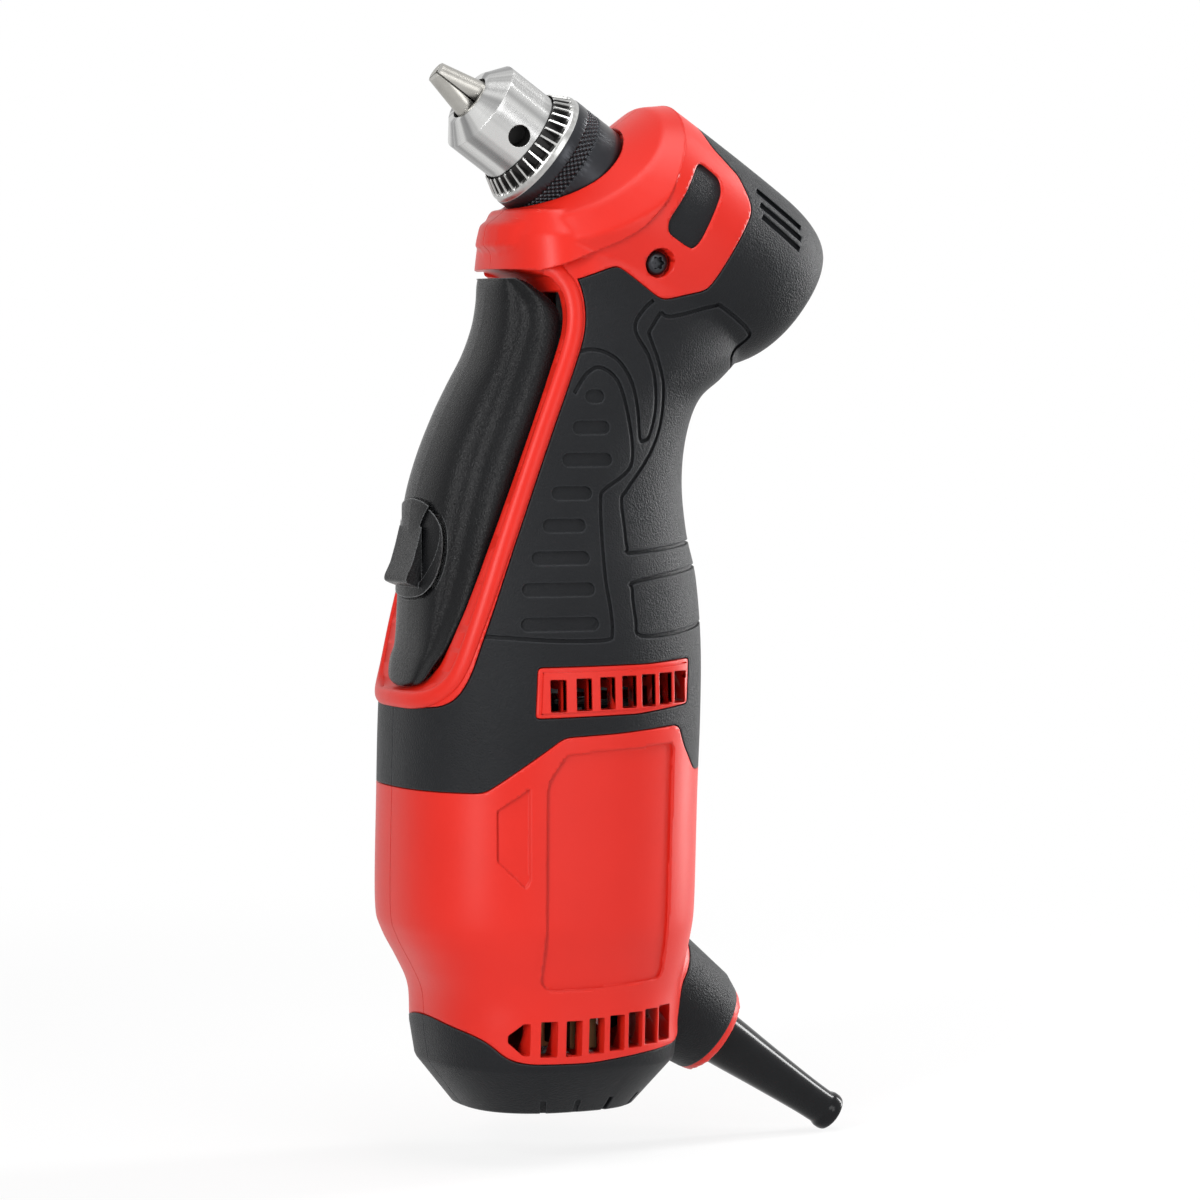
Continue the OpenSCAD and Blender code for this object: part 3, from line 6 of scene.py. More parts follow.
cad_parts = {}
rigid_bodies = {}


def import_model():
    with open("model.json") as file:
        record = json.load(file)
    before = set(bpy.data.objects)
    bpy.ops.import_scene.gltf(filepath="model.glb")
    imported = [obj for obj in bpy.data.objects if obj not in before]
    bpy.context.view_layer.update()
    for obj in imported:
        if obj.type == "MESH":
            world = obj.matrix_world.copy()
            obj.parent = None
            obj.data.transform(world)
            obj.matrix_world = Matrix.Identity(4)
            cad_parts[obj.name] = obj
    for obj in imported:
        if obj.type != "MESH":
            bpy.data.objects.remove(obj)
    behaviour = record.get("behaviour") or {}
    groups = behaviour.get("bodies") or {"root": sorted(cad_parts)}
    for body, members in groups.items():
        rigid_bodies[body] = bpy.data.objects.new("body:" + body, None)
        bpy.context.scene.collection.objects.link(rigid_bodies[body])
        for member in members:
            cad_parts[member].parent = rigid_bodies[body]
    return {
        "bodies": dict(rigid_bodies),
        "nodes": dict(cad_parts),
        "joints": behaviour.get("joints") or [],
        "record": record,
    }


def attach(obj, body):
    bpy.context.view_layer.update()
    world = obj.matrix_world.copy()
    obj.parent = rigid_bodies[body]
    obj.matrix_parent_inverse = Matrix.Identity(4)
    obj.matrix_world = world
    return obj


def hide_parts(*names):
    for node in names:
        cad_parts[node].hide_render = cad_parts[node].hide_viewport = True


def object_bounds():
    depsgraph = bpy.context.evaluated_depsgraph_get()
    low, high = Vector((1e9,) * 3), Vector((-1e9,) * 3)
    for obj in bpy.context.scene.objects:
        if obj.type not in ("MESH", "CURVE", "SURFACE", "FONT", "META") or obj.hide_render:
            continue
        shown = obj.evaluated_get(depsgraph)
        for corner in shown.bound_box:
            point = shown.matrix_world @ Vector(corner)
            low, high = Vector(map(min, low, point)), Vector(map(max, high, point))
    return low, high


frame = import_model()
cad_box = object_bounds()

# Camera. The tool is seen from its left side and a little from the front, from far away
# with a long lens, so the edges of the body stay almost parallel.
view_turn = math.radians(24.5)
view_rise = math.radians(3)
view_target = Vector((0.0184, 0, 0.1396))
view_back = Vector((
    -math.sin(view_turn) * math.cos(view_rise), -math.cos(view_turn) * math.cos(view_rise),
    math.sin(view_rise),
))
camera_data = bpy.data.cameras.new("camera")
camera_data.lens = 150
camera_data.sensor_width = 36
camera_data.clip_start = 0.1
camera = bpy.data.objects.new("camera", camera_data)
view_distance = 1.397
view_place = Matrix.Translation(view_target + view_distance * view_back)
camera.matrix_world = view_place @ view_back.to_track_quat("Z", "Y").to_matrix().to_4x4()
bpy.context.collection.objects.link(camera)
bpy.context.scene.camera = camera
bpy.context.scene.view_settings.view_transform = "Standard"


# Studio. White paper under and behind the tool, a tall soft box on each side, one above and a weak one
# in front, as for a catalogue picture.
class Value:
    """One output socket of a material, with Python's operators for its Math nodes."""

    def __init__(self, finish, socket):
        self.finish = finish
        self.socket = socket

    def math(self, operation, other):
        return self.finish.node("ShaderNodeMath", {"operation": operation}, {0: self, 1: other})

    def __add__(self, other):
        return self.math("ADD", other)

    def __rsub__(self, other):
        return self.math("MULTIPLY", -1).math("ADD", other)

    def __mul__(self, other):
        return self.math("MULTIPLY", other)

    def between(self, low, high):
        return self.finish.node(
            "ShaderNodeMapRange", {"interpolation_type": "SMOOTHSTEP"},
            {"Value": self, "From Min": low, "From Max": high},
        )


class Finish:
    """One material: its node tree, and one method that adds any node to it."""

    def __init__(self, name):
        self.material = bpy.data.materials.new(name)
        self.material.use_nodes = True
        self.tree = self.material.node_tree
        self.tree.nodes.clear()

    def node(self, kind, settings=None, inputs=None, output=0):
        node = self.tree.nodes.new(kind)
        for key, value in (settings or {}).items():
            setattr(node, key, value)
        for key, value in (inputs or {}).items():
            if isinstance(value, Value):
                self.tree.links.new(value.socket, node.inputs[key])
            else:
                node.inputs[key].default_value = value
        return Value(self, node.outputs[output]) if len(node.outputs) else None

    def place(self):
        return self.node("ShaderNodeTexCoord", output="Object")

    def noise(self, where, scale, detail=2.0, rough=0.5):
        return self.node("ShaderNodeTexNoise", None, {
            "Vector": where, "Scale": scale, "Detail": detail, "Roughness": rough,
        })

    def mix(self, share, low, high):
        return self.node("ShaderNodeMix", {"data_type": "RGBA"}, {0: share, 6: low, 7: high}, output=2)

    def bump(self, height, strength, distance, normal=None):
        inputs = {"Height": height, "Strength": strength, "Distance": distance}
        if normal is not None:
            inputs["Normal"] = normal
        return self.node("ShaderNodeBump", None, inputs)

    def edge(self, radius):
        """Normal of the surface with its edges rounded off."""
        return self.node("ShaderNodeBevel", {"samples": 4}, {"Radius": radius})

    def painted_edge_highlight(self, normal):
        """Share of outer edges, from the rounded normal and the true one; hollow corners are left out. Base
        colours are lightened by it: a painted highlight along the outer edges.
        """
        true = self.node("ShaderNodeNewGeometry", output="Normal")
        even = self.node(
            "ShaderNodeVectorMath", {"operation": "DOT_PRODUCT"}, {0: normal, 1: true}, output="Value",
        )
        open_air = self.node(
            "ShaderNodeAmbientOcclusion", {"samples": 4, "only_local": True}, {"Distance": 0.0015},
            output="AO",
        )
        return (1 - even).between(0.01, 0.16) * open_air.between(0.5, 0.8)

    def surface(self, **inputs):
        named = {key.replace("_", " ").title(): value for key, value in inputs.items()}
        named = {key.replace("Ior", "IOR"): value for key, value in named.items()}
        shader = self.node("ShaderNodeBsdfPrincipled", None, named)
        self.finish(shader)
        return self.material

    def finish(self, shader):
        self.node("ShaderNodeOutputMaterial", None, {"Surface": shader})


def soft_box(name, place, aim, size, watts):
    lamp = bpy.data.lights.new(name, "AREA")
    lamp.shape = "RECTANGLE"
    lamp.size, lamp.size_y = size
    lamp.energy = watts
    holder = bpy.data.objects.new(name, lamp)
    away = Vector(place) - Vector(aim)
    facing = away.to_track_quat("Z", "Y").to_matrix().to_4x4()
    holder.matrix_world = Matrix.Translation(Vector(place)) @ facing
    bpy.context.collection.objects.link(holder)


soft_box("left_box", (-0.95, -0.75, 0.55), (0, 0, 0.14), (0.18, 0.95), 12)
soft_box("right_box", (1.05, 0.1, 0.35), (0, 0, 0.14), (0.2, 1.0), 15)
soft_box("top_box", (0.05, -0.25, 1.2), (0, 0, 0.2), (0.6, 0.6), 7)
soft_box("front_box", (0.4, -1.7, 0.5), (0, 0, 0.14), (0.6, 0.8), 6.5)

world = bpy.data.worlds.new("studio")
world.use_nodes = True
sky = world.node_tree
sky.nodes.clear()
light_path = sky.nodes.new("ShaderNodeLightPath")
seen = light_path.outputs["Is Camera Ray"]
for kind in ("Is Glossy Ray", "Is Transmission Ray"):
    either = sky.nodes.new("ShaderNodeMath")
    either.operation = "MAXIMUM"
    sky.links.new(seen, either.inputs[0])
    sky.links.new(light_path.outputs[kind], either.inputs[1])
    seen = either.outputs[0]
level = sky.nodes.new("ShaderNodeMapRange")
level.inputs["To Min"].default_value = 0.15
level.inputs["To Max"].default_value = 1.0
sky.links.new(seen, level.inputs["Value"])
glow = sky.nodes.new("ShaderNodeBackground")
glow.inputs["Color"].default_value = (1, 1, 1, 1)
sky.links.new(level.outputs[0], glow.inputs["Strength"])
sky.links.new(glow.outputs[0], sky.nodes.new("ShaderNodeOutputWorld").inputs["Surface"])
bpy.context.scene.world = world

bpy.ops.object.select_all(action="DESELECT")
bpy.ops.mesh.primitive_plane_add(size=8, location=(0, 0, cad_box[0][2] - 0.0005))
floor = bpy.context.object
floor.name = "floor"
bpy.ops.object.transform_apply(location=True, rotation=True, scale=True)
paper = Finish("white_paper")
seen_share = paper.node("ShaderNodeLightPath", output="Is Camera Ray")
for kind in ("Is Glossy Ray", "Is Transmission Ray"):
    seen_share = seen_share.math("MAXIMUM", paper.node("ShaderNodeLightPath", output=kind))
reach = paper.node("ShaderNodeVectorMath", {"operation": "LENGTH"}, {0: paper.place()}, output="Value")
far = reach.between(0.25, 0.7)
seen_share = seen_share * (far * 0.16 + 0.84)
paper.finish(paper.node("ShaderNodeMixShader", None, {
    0: seen_share,
    1: paper.node("ShaderNodeBsdfDiffuse", None, {"Color": (0.9, 0.9, 0.9, 1)}),
    2: paper.node("ShaderNodeEmission", None, {"Color": (1, 1, 1, 1), "Strength": 1.0}),
}))
floor.data.materials.append(paper.material)

# Shell. Two moulded halves close on the motor and the gear case: one soft blended form of a motor body
# that tapers into the grip, a leaning head barrel and the boss of the cord.
foot_lift = 0.003384
body_depth = 0.090
body_width = 0.078
tool_h = 0.282
head_z = 0.9475 * tool_h - foot_lift
head_r = 0.032
head_len = 0.0845
head_turn = math.radians(55)
head_frame = Matrix.Translation((0, 0, head_z)) @ Matrix.Rotation(-head_turn, 4, "Y")
cord_frame = (
    Matrix.Translation((0.589 * body_depth, 0, 0.07 * tool_h - foot_lift))
    @ Matrix.Rotation(math.radians(124), 4, "Y")
)
# Crowned front face of the head: its radius, lean and place along the chuck's axis
face_crown, face_lean, face_back = 0.042, math.radians(19.6), -0.0075
# How square the sections of body, head and collar are: 2 is an ellipse
body_power, head_power, collar_power = 2.5, 2.15, 2.3
# Rows up the motor body and grip: height, front, back and width as shares
body_rows = [
    (0.012, 0.51, 0.53, 0.59), (0.059, 0.745, 0.8, 0.846), (0.092, 0.778, 0.82, 0.885),
    (0.128, 0.79, 0.83, 0.897), (0.156, 0.867, 0.87, 0.936), (0.184, 0.96, 0.905, 0.985),
    (0.213, 1, 0.925, 1), (0.319, 0.99, 0.945, 1), (0.397, 0.978, 0.965, 1),
    (0.468, 0.956, 0.972, 0.974), (0.532, 0.933, 0.945, 0.925), (0.574, 0.905, 0.89, 0.872),
    (0.624, 0.844, 0.865, 0.821), (0.67, 0.756, 0.9, 0.79), (0.706, 0.644, 0.99, 0.777),
    (0.727, 0.578, 1.15, 0.769), (0.752, 0.489, 1.28, 0.756), (0.798, 0.356, 1.3, 0.718),
    (0.837, 0.327, 1.2, 0.692), (0.869, 0.311, 1, 0.615),
]
# Rows along the head barrel: station, rise of the centre, half height and half width as shares
head_rows = [
    (-1, 0.244, 0.5, 0.547), (-0.971, 0.228, 0.641, 0.703), (-0.914, 0.188, 0.766, 0.8125),
    (-0.823, 0.15, 0.853, 0.89), (-0.686, 0.094, 0.922, 0.9375), (-0.457, 0.016, 1, 0.969),
    (-0.206, 0, 1.006, 0.9375), (-0.057, 0.009, 0.969, 0.875), (0.069, 0.016, 0.906, 0.8125),
]


def smooth_rows(rows, steps):
    """Rows of a table with more rows between them on a smooth curve."""
    out = []
    for i in range(len(rows) - 1):
        a, b, c, d = (rows[min(max(j, 0), len(rows) - 1)] for j in (i - 1, i, i + 1, i + 2))
        for k in range(steps):
            t = k / steps
            row = []
            for p, q, r, s in zip(a, b, c, d):
                bend = (2 * p - 5 * q + 4 * r - s) / 2 + t * (3 * q - p - 3 * r + s) / 2
                row.append(q + t * ((r - p) / 2 + t * bend))
            out.append(row)
    return out + [list(rows[-1])]


def power_of(v, power):
    return math.copysign(abs(v) ** (2 / power), v)


def add_mesh(name, points, faces):
    mesh = bpy.data.meshes.new(name)
    mesh.from_pydata([tuple(p) for p in points], [], faces)
    mesh.validate()
    piece = bpy.data.objects.new(name, mesh)
    bpy.context.collection.objects.link(piece)
    return piece


def outward(piece):
    """Turns all faces of a closed piece outwards."""
    bpy.ops.object.select_all(action="DESELECT")
    bpy.context.view_layer.objects.active = piece
    piece.select_set(True)
    bpy.ops.object.mode_set(mode="EDIT")
    bpy.ops.mesh.select_all(action="SELECT")
    bpy.ops.mesh.normals_make_consistent(inside=False)
    bpy.ops.object.mode_set(mode="OBJECT")
    return piece


def loft(name, rings):
    """Closed solid through rings of points."""
    n = len(rings[0])
    points = [p for ring in rings for p in ring]
    faces = [
        (k * n + i, k * n + (i + 1) % n, (k + 1) * n + (i + 1) % n, (k + 1) * n + i)
        for k in range(len(rings) - 1) for i in range(n)
    ]
    faces += [tuple(range(n)), tuple(range(len(points) - n, len(points)))]
    return outward(add_mesh(name, points, faces))


def full_turn(sides):
    return [2 * math.pi * i / sides for i in range(sides)]


def body_ring(row, inset, sides):
    front, back = -row[1] * body_depth / 2 + inset, row[2] * body_depth / 2 - inset
    wide = row[3] * body_width / 2 - inset
    level = row[0] * tool_h - foot_lift + (inset if row[0] < 0.013 else 0)
    middle, half = (front + back) / 2, (back - front) / 2
    return [(
        middle - half * power_of(math.cos(t), body_power), -wide * power_of(math.sin(t), body_power), level
    ) for t in full_turn(sides)]


def head_ring(row, inset, sides):
    station = max(row[0] * head_len, inset - head_len)
    return [head_frame @ Vector((
        row[1] * head_r - (row[2] * head_r - inset) * power_of(math.cos(t), head_power),
        -(row[3] * head_r - inset) * power_of(math.sin(t), head_power), station
    )) for t in full_turn(sides)]


def ring_faces(n):
    """Two ends and the sides of a solid between two rings of points."""
    faces = [tuple(range(n)), tuple(range(n, 2 * n))]
    return faces + [(i, (i + 1) % n, n + (i + 1) % n, n + i) for i in range(n)]


def prism(name, outline, low, high, place=Matrix()):
    """Solid from an outline of the side view, or of the plane that place gives, between two depths."""
    points = [place @ Vector((x, y, z)) for y in (low, high) for x, z in outline]
    return outward(add_mesh(name, points, ring_faces(len(outline))))


def apply_all(piece):
    bpy.context.view_layer.objects.active = piece
    for modifier in list(piece.modifiers):
        bpy.ops.object.modifier_apply(modifier=modifier.name)
    return piece


def cut(piece, tool, operation="DIFFERENCE", keep=False):
    """Cuts a piece with another solid, or joins or crosses the two."""
    modifier = piece.modifiers.new("cut", "BOOLEAN")
    modifier.operation = operation
    modifier.solver = "MANIFOLD"
    modifier.object = tool
    apply_all(piece)
    if not keep:
        bpy.data.objects.remove(tool)
    return piece


def copy_of(piece, name):
    twin = piece.copy()
    twin.data = piece.data.copy()
    twin.name = name
    bpy.context.collection.objects.link(twin)
    return twin


def cord_boss(inset):
    rows = ((-0.03, 0.0168, -0.0025), (-0.007, 0.0148, -0.00125), (-inset / 2, 0.0128, 0))
    return loft("boss", [[
        cord_frame @ Vector((shift + (r - inset) * math.cos(t), (r - inset) * math.sin(t), s))
        for t in full_turn(64)
    ] for s, r, shift in rows])


def whole_form(name, inset, steps, sides):
    """Body, head and boss in one solid, all moved inwards by the inset."""
    body = loft(name, [body_ring(row, inset, sides) for row in smooth_rows(body_rows, steps)])
    head = loft("head", [head_ring(row, inset, sides) for row in smooth_rows(head_rows, steps)])
    reach = 0.12
    arc = [math.radians(90 - 4 * i) for i in range(-22, 23)]
    face = [(face_crown * math.cos(t), face_crown * math.sin(t) - face_crown) for t in arc]
    foot = -face_crown - 2 * reach
    face = [(reach, foot), (reach, -face_crown)] + face[::-1] + [(-reach, -face_crown), (-reach, foot)]
    lean = head_frame @ Matrix.Translation((0, 0, face_back - inset)) @ Matrix.Rotation(face_lean, 4, "Y")
    points = [lean @ Vector((d, y, s)) for d in (-reach, reach) for y, s in face]
    cut(head, outward(add_mesh("limit", points, ring_faces(len(face)))), "INTERSECT")
    cut(body, head, "UNION")
    return cut(body, cord_boss(inset), "UNION")


def blend(piece, voxel, rounds):
    """Gives a piece an even fine mesh and softens its edges."""
    remesh = piece.modifiers.new("even", "REMESH")
    remesh.mode = "VOXEL"
    remesh.voxel_size = voxel
    soft = piece.modifiers.new("soft", "SMOOTH")
    soft.factor = 0.5
    soft.iterations = rounds
    return apply_all(piece)


shell = blend(whole_form("shell", 0, 8, 96), 0.001, 10)


def side(outline):
    """Side view points in metres from shares of the body's depth and the tool's height."""
    return [(x * body_depth, z * tool_h - foot_lift) for x, z in outline]


def soften(outline, radius, steps=5):
    """Outline with its corners rounded."""
    out = []
    n = len(outline)
    for i in range(n):
        a, b, c = (Vector(outline[j % n]) for j in (i - 1, i, i + 1))
        p = b + (a - b) * min(0.49, radius / max((a - b).length, 1e-6))
        q = b + (c - b) * min(0.49, radius / max((c - b).length, 1e-6))
        for k in range(steps + 1):
            t = k / steps
            out.append(tuple((1 - t) ** 2 * p + 2 * t * (1 - t) * b + t ** 2 * q))
    return out


def grown(outline, by):
    """Outline moved outwards by a distance."""
    n = len(outline)
    area = sum(outline[i - 1][0] * outline[i][1] - outline[i][0] * outline[i - 1][1] for i in range(n))
    by = by if area > 0 else -by
    out = []
    for i in range(n):
        a, b, c = (Vector(outline[j % n]) for j in (i - 1, i, i + 1))
        if (b - a).length < 1e-7 or (c - b).length < 1e-7:
            continue
        one, two = (b - a).normalized(), (c - b).normalized()
        normal = Vector((one.y + two.y, -one.x - two.x))
        if normal.length < 0.3:
            continue
        normal.normalize()
        out.append(tuple(b + normal * by / max(0.5, normal.dot(Vector((one.y, -one.x))))))
    return out


opening = soften(side([
    (-0.7, 0.424), (-0.47, 0.424), (-0.443, 0.427), (-0.422, 0.438), (-0.402, 0.454),
    (-0.383, 0.475), (-0.303, 0.552), (-0.204, 0.633), (-0.109, 0.709), (-0.044, 0.757),
    (-0.022, 0.779), (-0.0185, 0.801), (-0.04, 0.8245), (-0.108, 0.8335), (-0.7, 0.835),
]), 0.008)
grip_outline = soften(side([
    (-0.7, 0.331), (-0.44, 0.33), (-0.34, 0.33), (-0.242, 0.353), (-0.107, 0.383), (0.073, 0.3855),
    (0.297, 0.391), (0.32, 0.371), (0.378, 0.344), (0.7, 0.344), (1.2, 0.674), (1.2, 1.04),
    (0.53, 1.04), (0.474, 0.968), (0.482, 0.954), (0.54, 0.931), (0.556, 0.9255), (0.578, 0.901),
    (0.577, 0.889), (0.522, 0.862), (0.432, 0.818), (0.412, 0.812), (0.291, 0.804),
    (0.264, 0.805), (0.142, 0.834), (0.12, 0.836), (-0.002, 0.822), (-0.7, 0.822),
]), 0.0022)
window = soften(side([
    (-0.195, 0.402), (0.14, 0.404), (0.335, 0.411), (0.345, 0.455), (0.18, 0.4515), (-0.185, 0.4505),
]), 0.0012)
end_outline = soften(side([
    (-0.7, 0.11), (-0.4, 0.11), (-0.38, 0.101), (-0.326, 0.0925), (-0.291, 0.085), (-0.244, 0.07),
    (-0.184, 0.0655), (0, 0.065), (0.176, 0.071), (0.342, 0.076), (0.389, 0.089), (0.393, 0.112),
    (0.402, 0.128), (0.43, 0.141), (0.452, 0.156), (0.462, 0.17), (0.474, 0.182), (0.49, 0.19),
    (0.9, 0.2), (1.2, -0.1), (-0.7, -0.1),
]), 0.0035)
pad_outline = soften(side([
    (0.395, 0.935), (0.418, 0.936), (0.475, 0.922), (0.474, 0.908), (0.388, 0.86), (0.365, 0.853),
    (0.345, 0.854), (0.277, 0.868), (0.279, 0.88), (0.337, 0.905),
]), 0.0018)
panel_outline = soften(side([
    (-0.165, 0.143), (-0.13, 0.137), (0.024, 0.138), (0.254, 0.143), (0.28, 0.374),
    (-0.1, 0.367), (-0.16, 0.339),
]), 0.0025)
notch_outline = soften(side([
    (-0.213, 0.335), (-0.307, 0.314), (-0.307, 0.265), (-0.227, 0.239), (-0.213, 0.245),
]), 0.0008)


# Red halves. Moulded glass filled nylon with a fine sparked grain: the walls stop under the soft black skin,
# the vents and the chuck opening pass through, and a bare label panel is sunk in each side.
def rod(name, place, low, high, radius, sides):
    """Round solid along the axis of a frame, between two stations."""
    spots = [(radius * math.cos(t), radius * math.sin(t)) for t in full_turn(sides)]
    return loft(name, [[place @ Vector((x, y, s)) for x, y in spots] for s in (low, high)])


def in_head(low, high, radius, name):
    return rod(name, head_frame, low, high, radius, 96)


def in_cord(low, high, radius, name):
    return rod(name, cord_frame, low, high, radius, 64)


def chuck_way():
    return in_head(-0.0171, 0.08, 0.0185, "chuck_way")


def boot_way():
    return in_cord(-0.03, 0.03, 0.0082, "boot_way")


# Half the parting line, and the depths from outside the left half to just past the middle
half_gap = 0.00014
beside, past_middle = -0.08, 0.001


def left_half():
    """Box round the left half of the tool, as far as the parting line."""
    return prism("half", [(-0.3, -0.2), (0.3, -0.2), (0.3, 0.5), (-0.3, 0.5)], -0.2, -half_gap)


left_form = cut(copy_of(shell, "left_form"), left_half(), "INTERSECT")
core = whole_form("core", 0.002, 3, 48)
cavity = whole_form("cavity", 0.0044, 3, 48)
cut(cavity, in_head(-0.0201, 0.05, 0.06, "nose_limit"))
cut(cavity, in_cord(-0.012, 0.05, 0.04, "boss_limit"))


def moved_skin(name, by):
    """Copy of the shell with its surface moved outwards by a distance."""
    twin = copy_of(shell, name)
    move = twin.modifiers.new("move", "DISPLACE")
    move.mid_level = 0
    move.strength = by
    return apply_all(twin)


sunk = moved_skin("sunk", -0.0008)


def zone(name, gap):
    """Areas of the soft black skin on the left half, as solids through the whole side."""
    if name == "grip":
        solid = prism(name, grown(grip_outline, gap), beside, past_middle)
        cut(solid, prism("opening", grown(opening, 0.004 - gap), -0.1, 0.1))
        return cut(solid, prism("window", grown(window, -gap), -0.1, 0.1))
    if name == "end":
        solid = prism(name, grown(end_outline, gap), beside, past_middle)
        return cut(solid, in_cord(-0.003 - gap, 0.06, 0.05, "ring"))
    return prism(name, grown(pad_outline, gap), beside, past_middle)


def vent(outline):
    return prism("vent", soften(outline, 0.0004, 3), beside, 0.002)


def bar(x, z, w, h):
    return [(x - w / 2, z - h / 2), (x + w / 2, z - h / 2), (x + w / 2, z + h / 2), (x - w / 2, z + h / 2)]


def joined(pieces):
    """One mesh from solids that don't touch each other."""
    bpy.ops.object.select_all(action="DESELECT")
    for piece in pieces:
        piece.select_set(True)
    bpy.context.view_layer.objects.active = pieces[0]
    bpy.ops.object.join()
    return pieces[0]


def round_hole(name, x, z, radius, low, high, sides=48):
    """Round solid across the tool, to cut a hole."""
    spots = [(x + radius * math.cos(t), z + radius * math.sin(t)) for t in full_turn(sides)]
    return prism(name, spots, low, high)


def curve_through(line, steps=4):
    return [tuple(p) for p in smooth_rows(line, steps)]


into_face = (Matrix.Translation((0, 0, face_back)) @ Matrix.Rotation(face_lean, 4, "Y")).inverted()
head_table = smooth_rows(head_rows, 12)


def at_face(a, b):
    """Station along the chuck's axis where the collar's crowned front face lies."""
    low, high = -0.08, 0.06
    for _ in range(40):
        middle = (low + high) / 2
        spot = into_face @ Vector((a, b, middle))
        level = math.sqrt(max(0, face_crown ** 2 - spot.y ** 2)) - face_crown
        low, high = (middle, high) if spot.z < level else (low, middle)
    return low


def collar_ring(back, inset, sides=144):
    """Ring of the collar's outside, a distance back from its front face."""
    ring = []
    for t in full_turn(sides):
        station = -0.01
        for _ in range(6):
            row = min(head_table, key=lambda r: abs(r[0] * head_len - station))
            a = row[1] * head_r - (row[2] * head_r - inset) * power_of(math.cos(t), collar_power)
            b = -(row[3] * head_r - inset) * power_of(math.sin(t), collar_power)
            station = at_face(a, b) - back
        ring.append(head_frame @ Vector((a, b, station)))
    return ring


def face_ring(radius, sides=144):
    spots = [(-radius * math.cos(t), -radius * math.sin(t)) for t in full_turn(sides)]
    return [head_frame @ Vector((a, b, at_face(a, b))) for a, b in spots]


collar = loft("collar", [
    collar_ring(0.026, -0.0008), collar_ring(0.016, -0.0008), collar_ring(0.0045, -0.0008),
    collar_ring(0.0039, -0.0006), collar_ring(0.0004, 0.0034), collar_ring(0, 0.0042), face_ring(0.016),
])
chin = loft("chin", [body_ring(row, 0, 96) for row in smooth_rows([
    (0.79, 0.36, 0.5, 0.722), (0.815, 0.342, 0.5, 0.706), (0.84, 0.329, 0.5, 0.692),
    (0.866, 0.314, 0.45, 0.64),
], 6) + [(0.888, 0.255, 0.3, 0.53), (0.892, 0.235, 0.3, 0.51)]])
cut(collar, chin, "UNION")
blend(collar, 0.0006, 8)
step_line = side([
    (0.46, 1.05), (0.394, 0.978), (0.368, 0.954), (0.327, 0.929), (0.284, 0.905),
    (0.218, 0.88), (0.143, 0.863), (0.047, 0.849), (-0.079, 0.834), (-0.2, 0.825),
])
ahead = curve_through(step_line) + side([(-0.7, 0.82), (-0.7, 1.2), (0.46, 1.2)])
cut(collar, prism("ahead", ahead, beside, -half_gap), "INTERSECT")
red_left = copy_of(left_form, "red_left")
cut(red_left, cut(prism("ahead", grown(ahead, -0.0002), beside, 0.01), core, keep=True))
cut(red_left, collar, "UNION")
ribs = copy_of(frame["nodes"]["housing_left"], "ribs")
bpy.context.view_layer.objects.active = ribs
bpy.ops.object.select_all(action="DESELECT")
ribs.select_set(True)
bpy.ops.object.mode_set(mode="EDIT")
bpy.ops.mesh.select_all(action="SELECT")
bpy.ops.mesh.remove_doubles(threshold=0.000001)
bpy.ops.object.mode_set(mode="OBJECT")
cut(ribs, cavity, "INTERSECT", keep=True)
cut(ribs, prism("opening", grown(opening, 0.008), -0.1, 0.1))
cut(red_left, cavity, keep=True)
cut(red_left, ribs, "UNION")
cut(red_left, prism("opening", opening, -0.1, 0.1))
for name in ("grip", "end", "pad"):
    cut(red_left, cut(zone(name, 0.00012), core, keep=True))
proud = moved_skin("proud", 0.0006)
vent_frame = cut(prism("vent_frame", grown(window, -0.0013), beside, -0.01), proud, "INTERSECT")
cut(vent_frame, core, keep=True)
# Seven slots in each row of vents, a little closer to each other towards the back
upper_vents = []
lower_vents = []
vent_w, upper_vent_h, lower_vent_h = 0.0046, 0.0088, 0.0098
upper_pitch, lower_pitch = 0.0076, 0.0072
for i in range(7):
    closer = 1 - 0.026 * i
    upper_share = 0.4235 + 0.0007 * i
    lower_share = 0.09 + 0.0016 * max(0, i - 1)
    upper_vents.append((-0.127 * body_depth + upper_pitch * i * closer, upper_share * tool_h - foot_lift))
    lower_vents.append((-0.132 * body_depth + lower_pitch * i * closer, lower_share * tool_h - foot_lift))
x, z = lower_vents[0]
arrow = [
    (x - 0.005, z - 0.0044), (x - 0.005, z + 0.0044), (x - 0.0068, z + 0.0044), (x - 0.0105, z + 0.0012),
    (x - 0.0105, z - 0.0008), (x - 0.0068, z - 0.0044),
]
vent_cuts = [vent(bar(x, z, vent_w, upper_vent_h)) for x, z in upper_vents]
vent_cuts += [vent(bar(x, z, vent_w, lower_vent_h)) for x, z in lower_vents]
vents = joined(vent_cuts + [vent(arrow)])
cut(vent_frame, vents, keep=True)
cut(red_left, vents)
hollows = joined([
    prism("panel", panel_outline, beside, past_middle), prism("notch", notch_outline, beside, past_middle),
])
cut(red_left, cut(hollows, sunk, keep=True))
cut(red_left, chuck_way())
case_screw_x, case_screw_z = 0.0234, 0.839 * tool_h - foot_lift
cut(red_left, joined([
    in_head(-0.05, -0.0165, 0.0106, "spindle_way"), boot_way(),
    round_hole("well", case_screw_x, case_screw_z, 0.0041, beside, -0.025),
]))


def mirrored(piece, name):
    twin = copy_of(piece, name)
    twin.data.transform(Matrix.Scale(-1, 4, (0, 1, 0)))
    twin.data.flip_normals()
    return twin


def smoothed(piece, degrees=38):
    bpy.ops.object.select_all(action="DESELECT")
    bpy.context.view_layer.objects.active = piece
    piece.select_set(True)
    bpy.ops.object.shade_smooth_by_angle(angle=math.radians(degrees))
    return piece


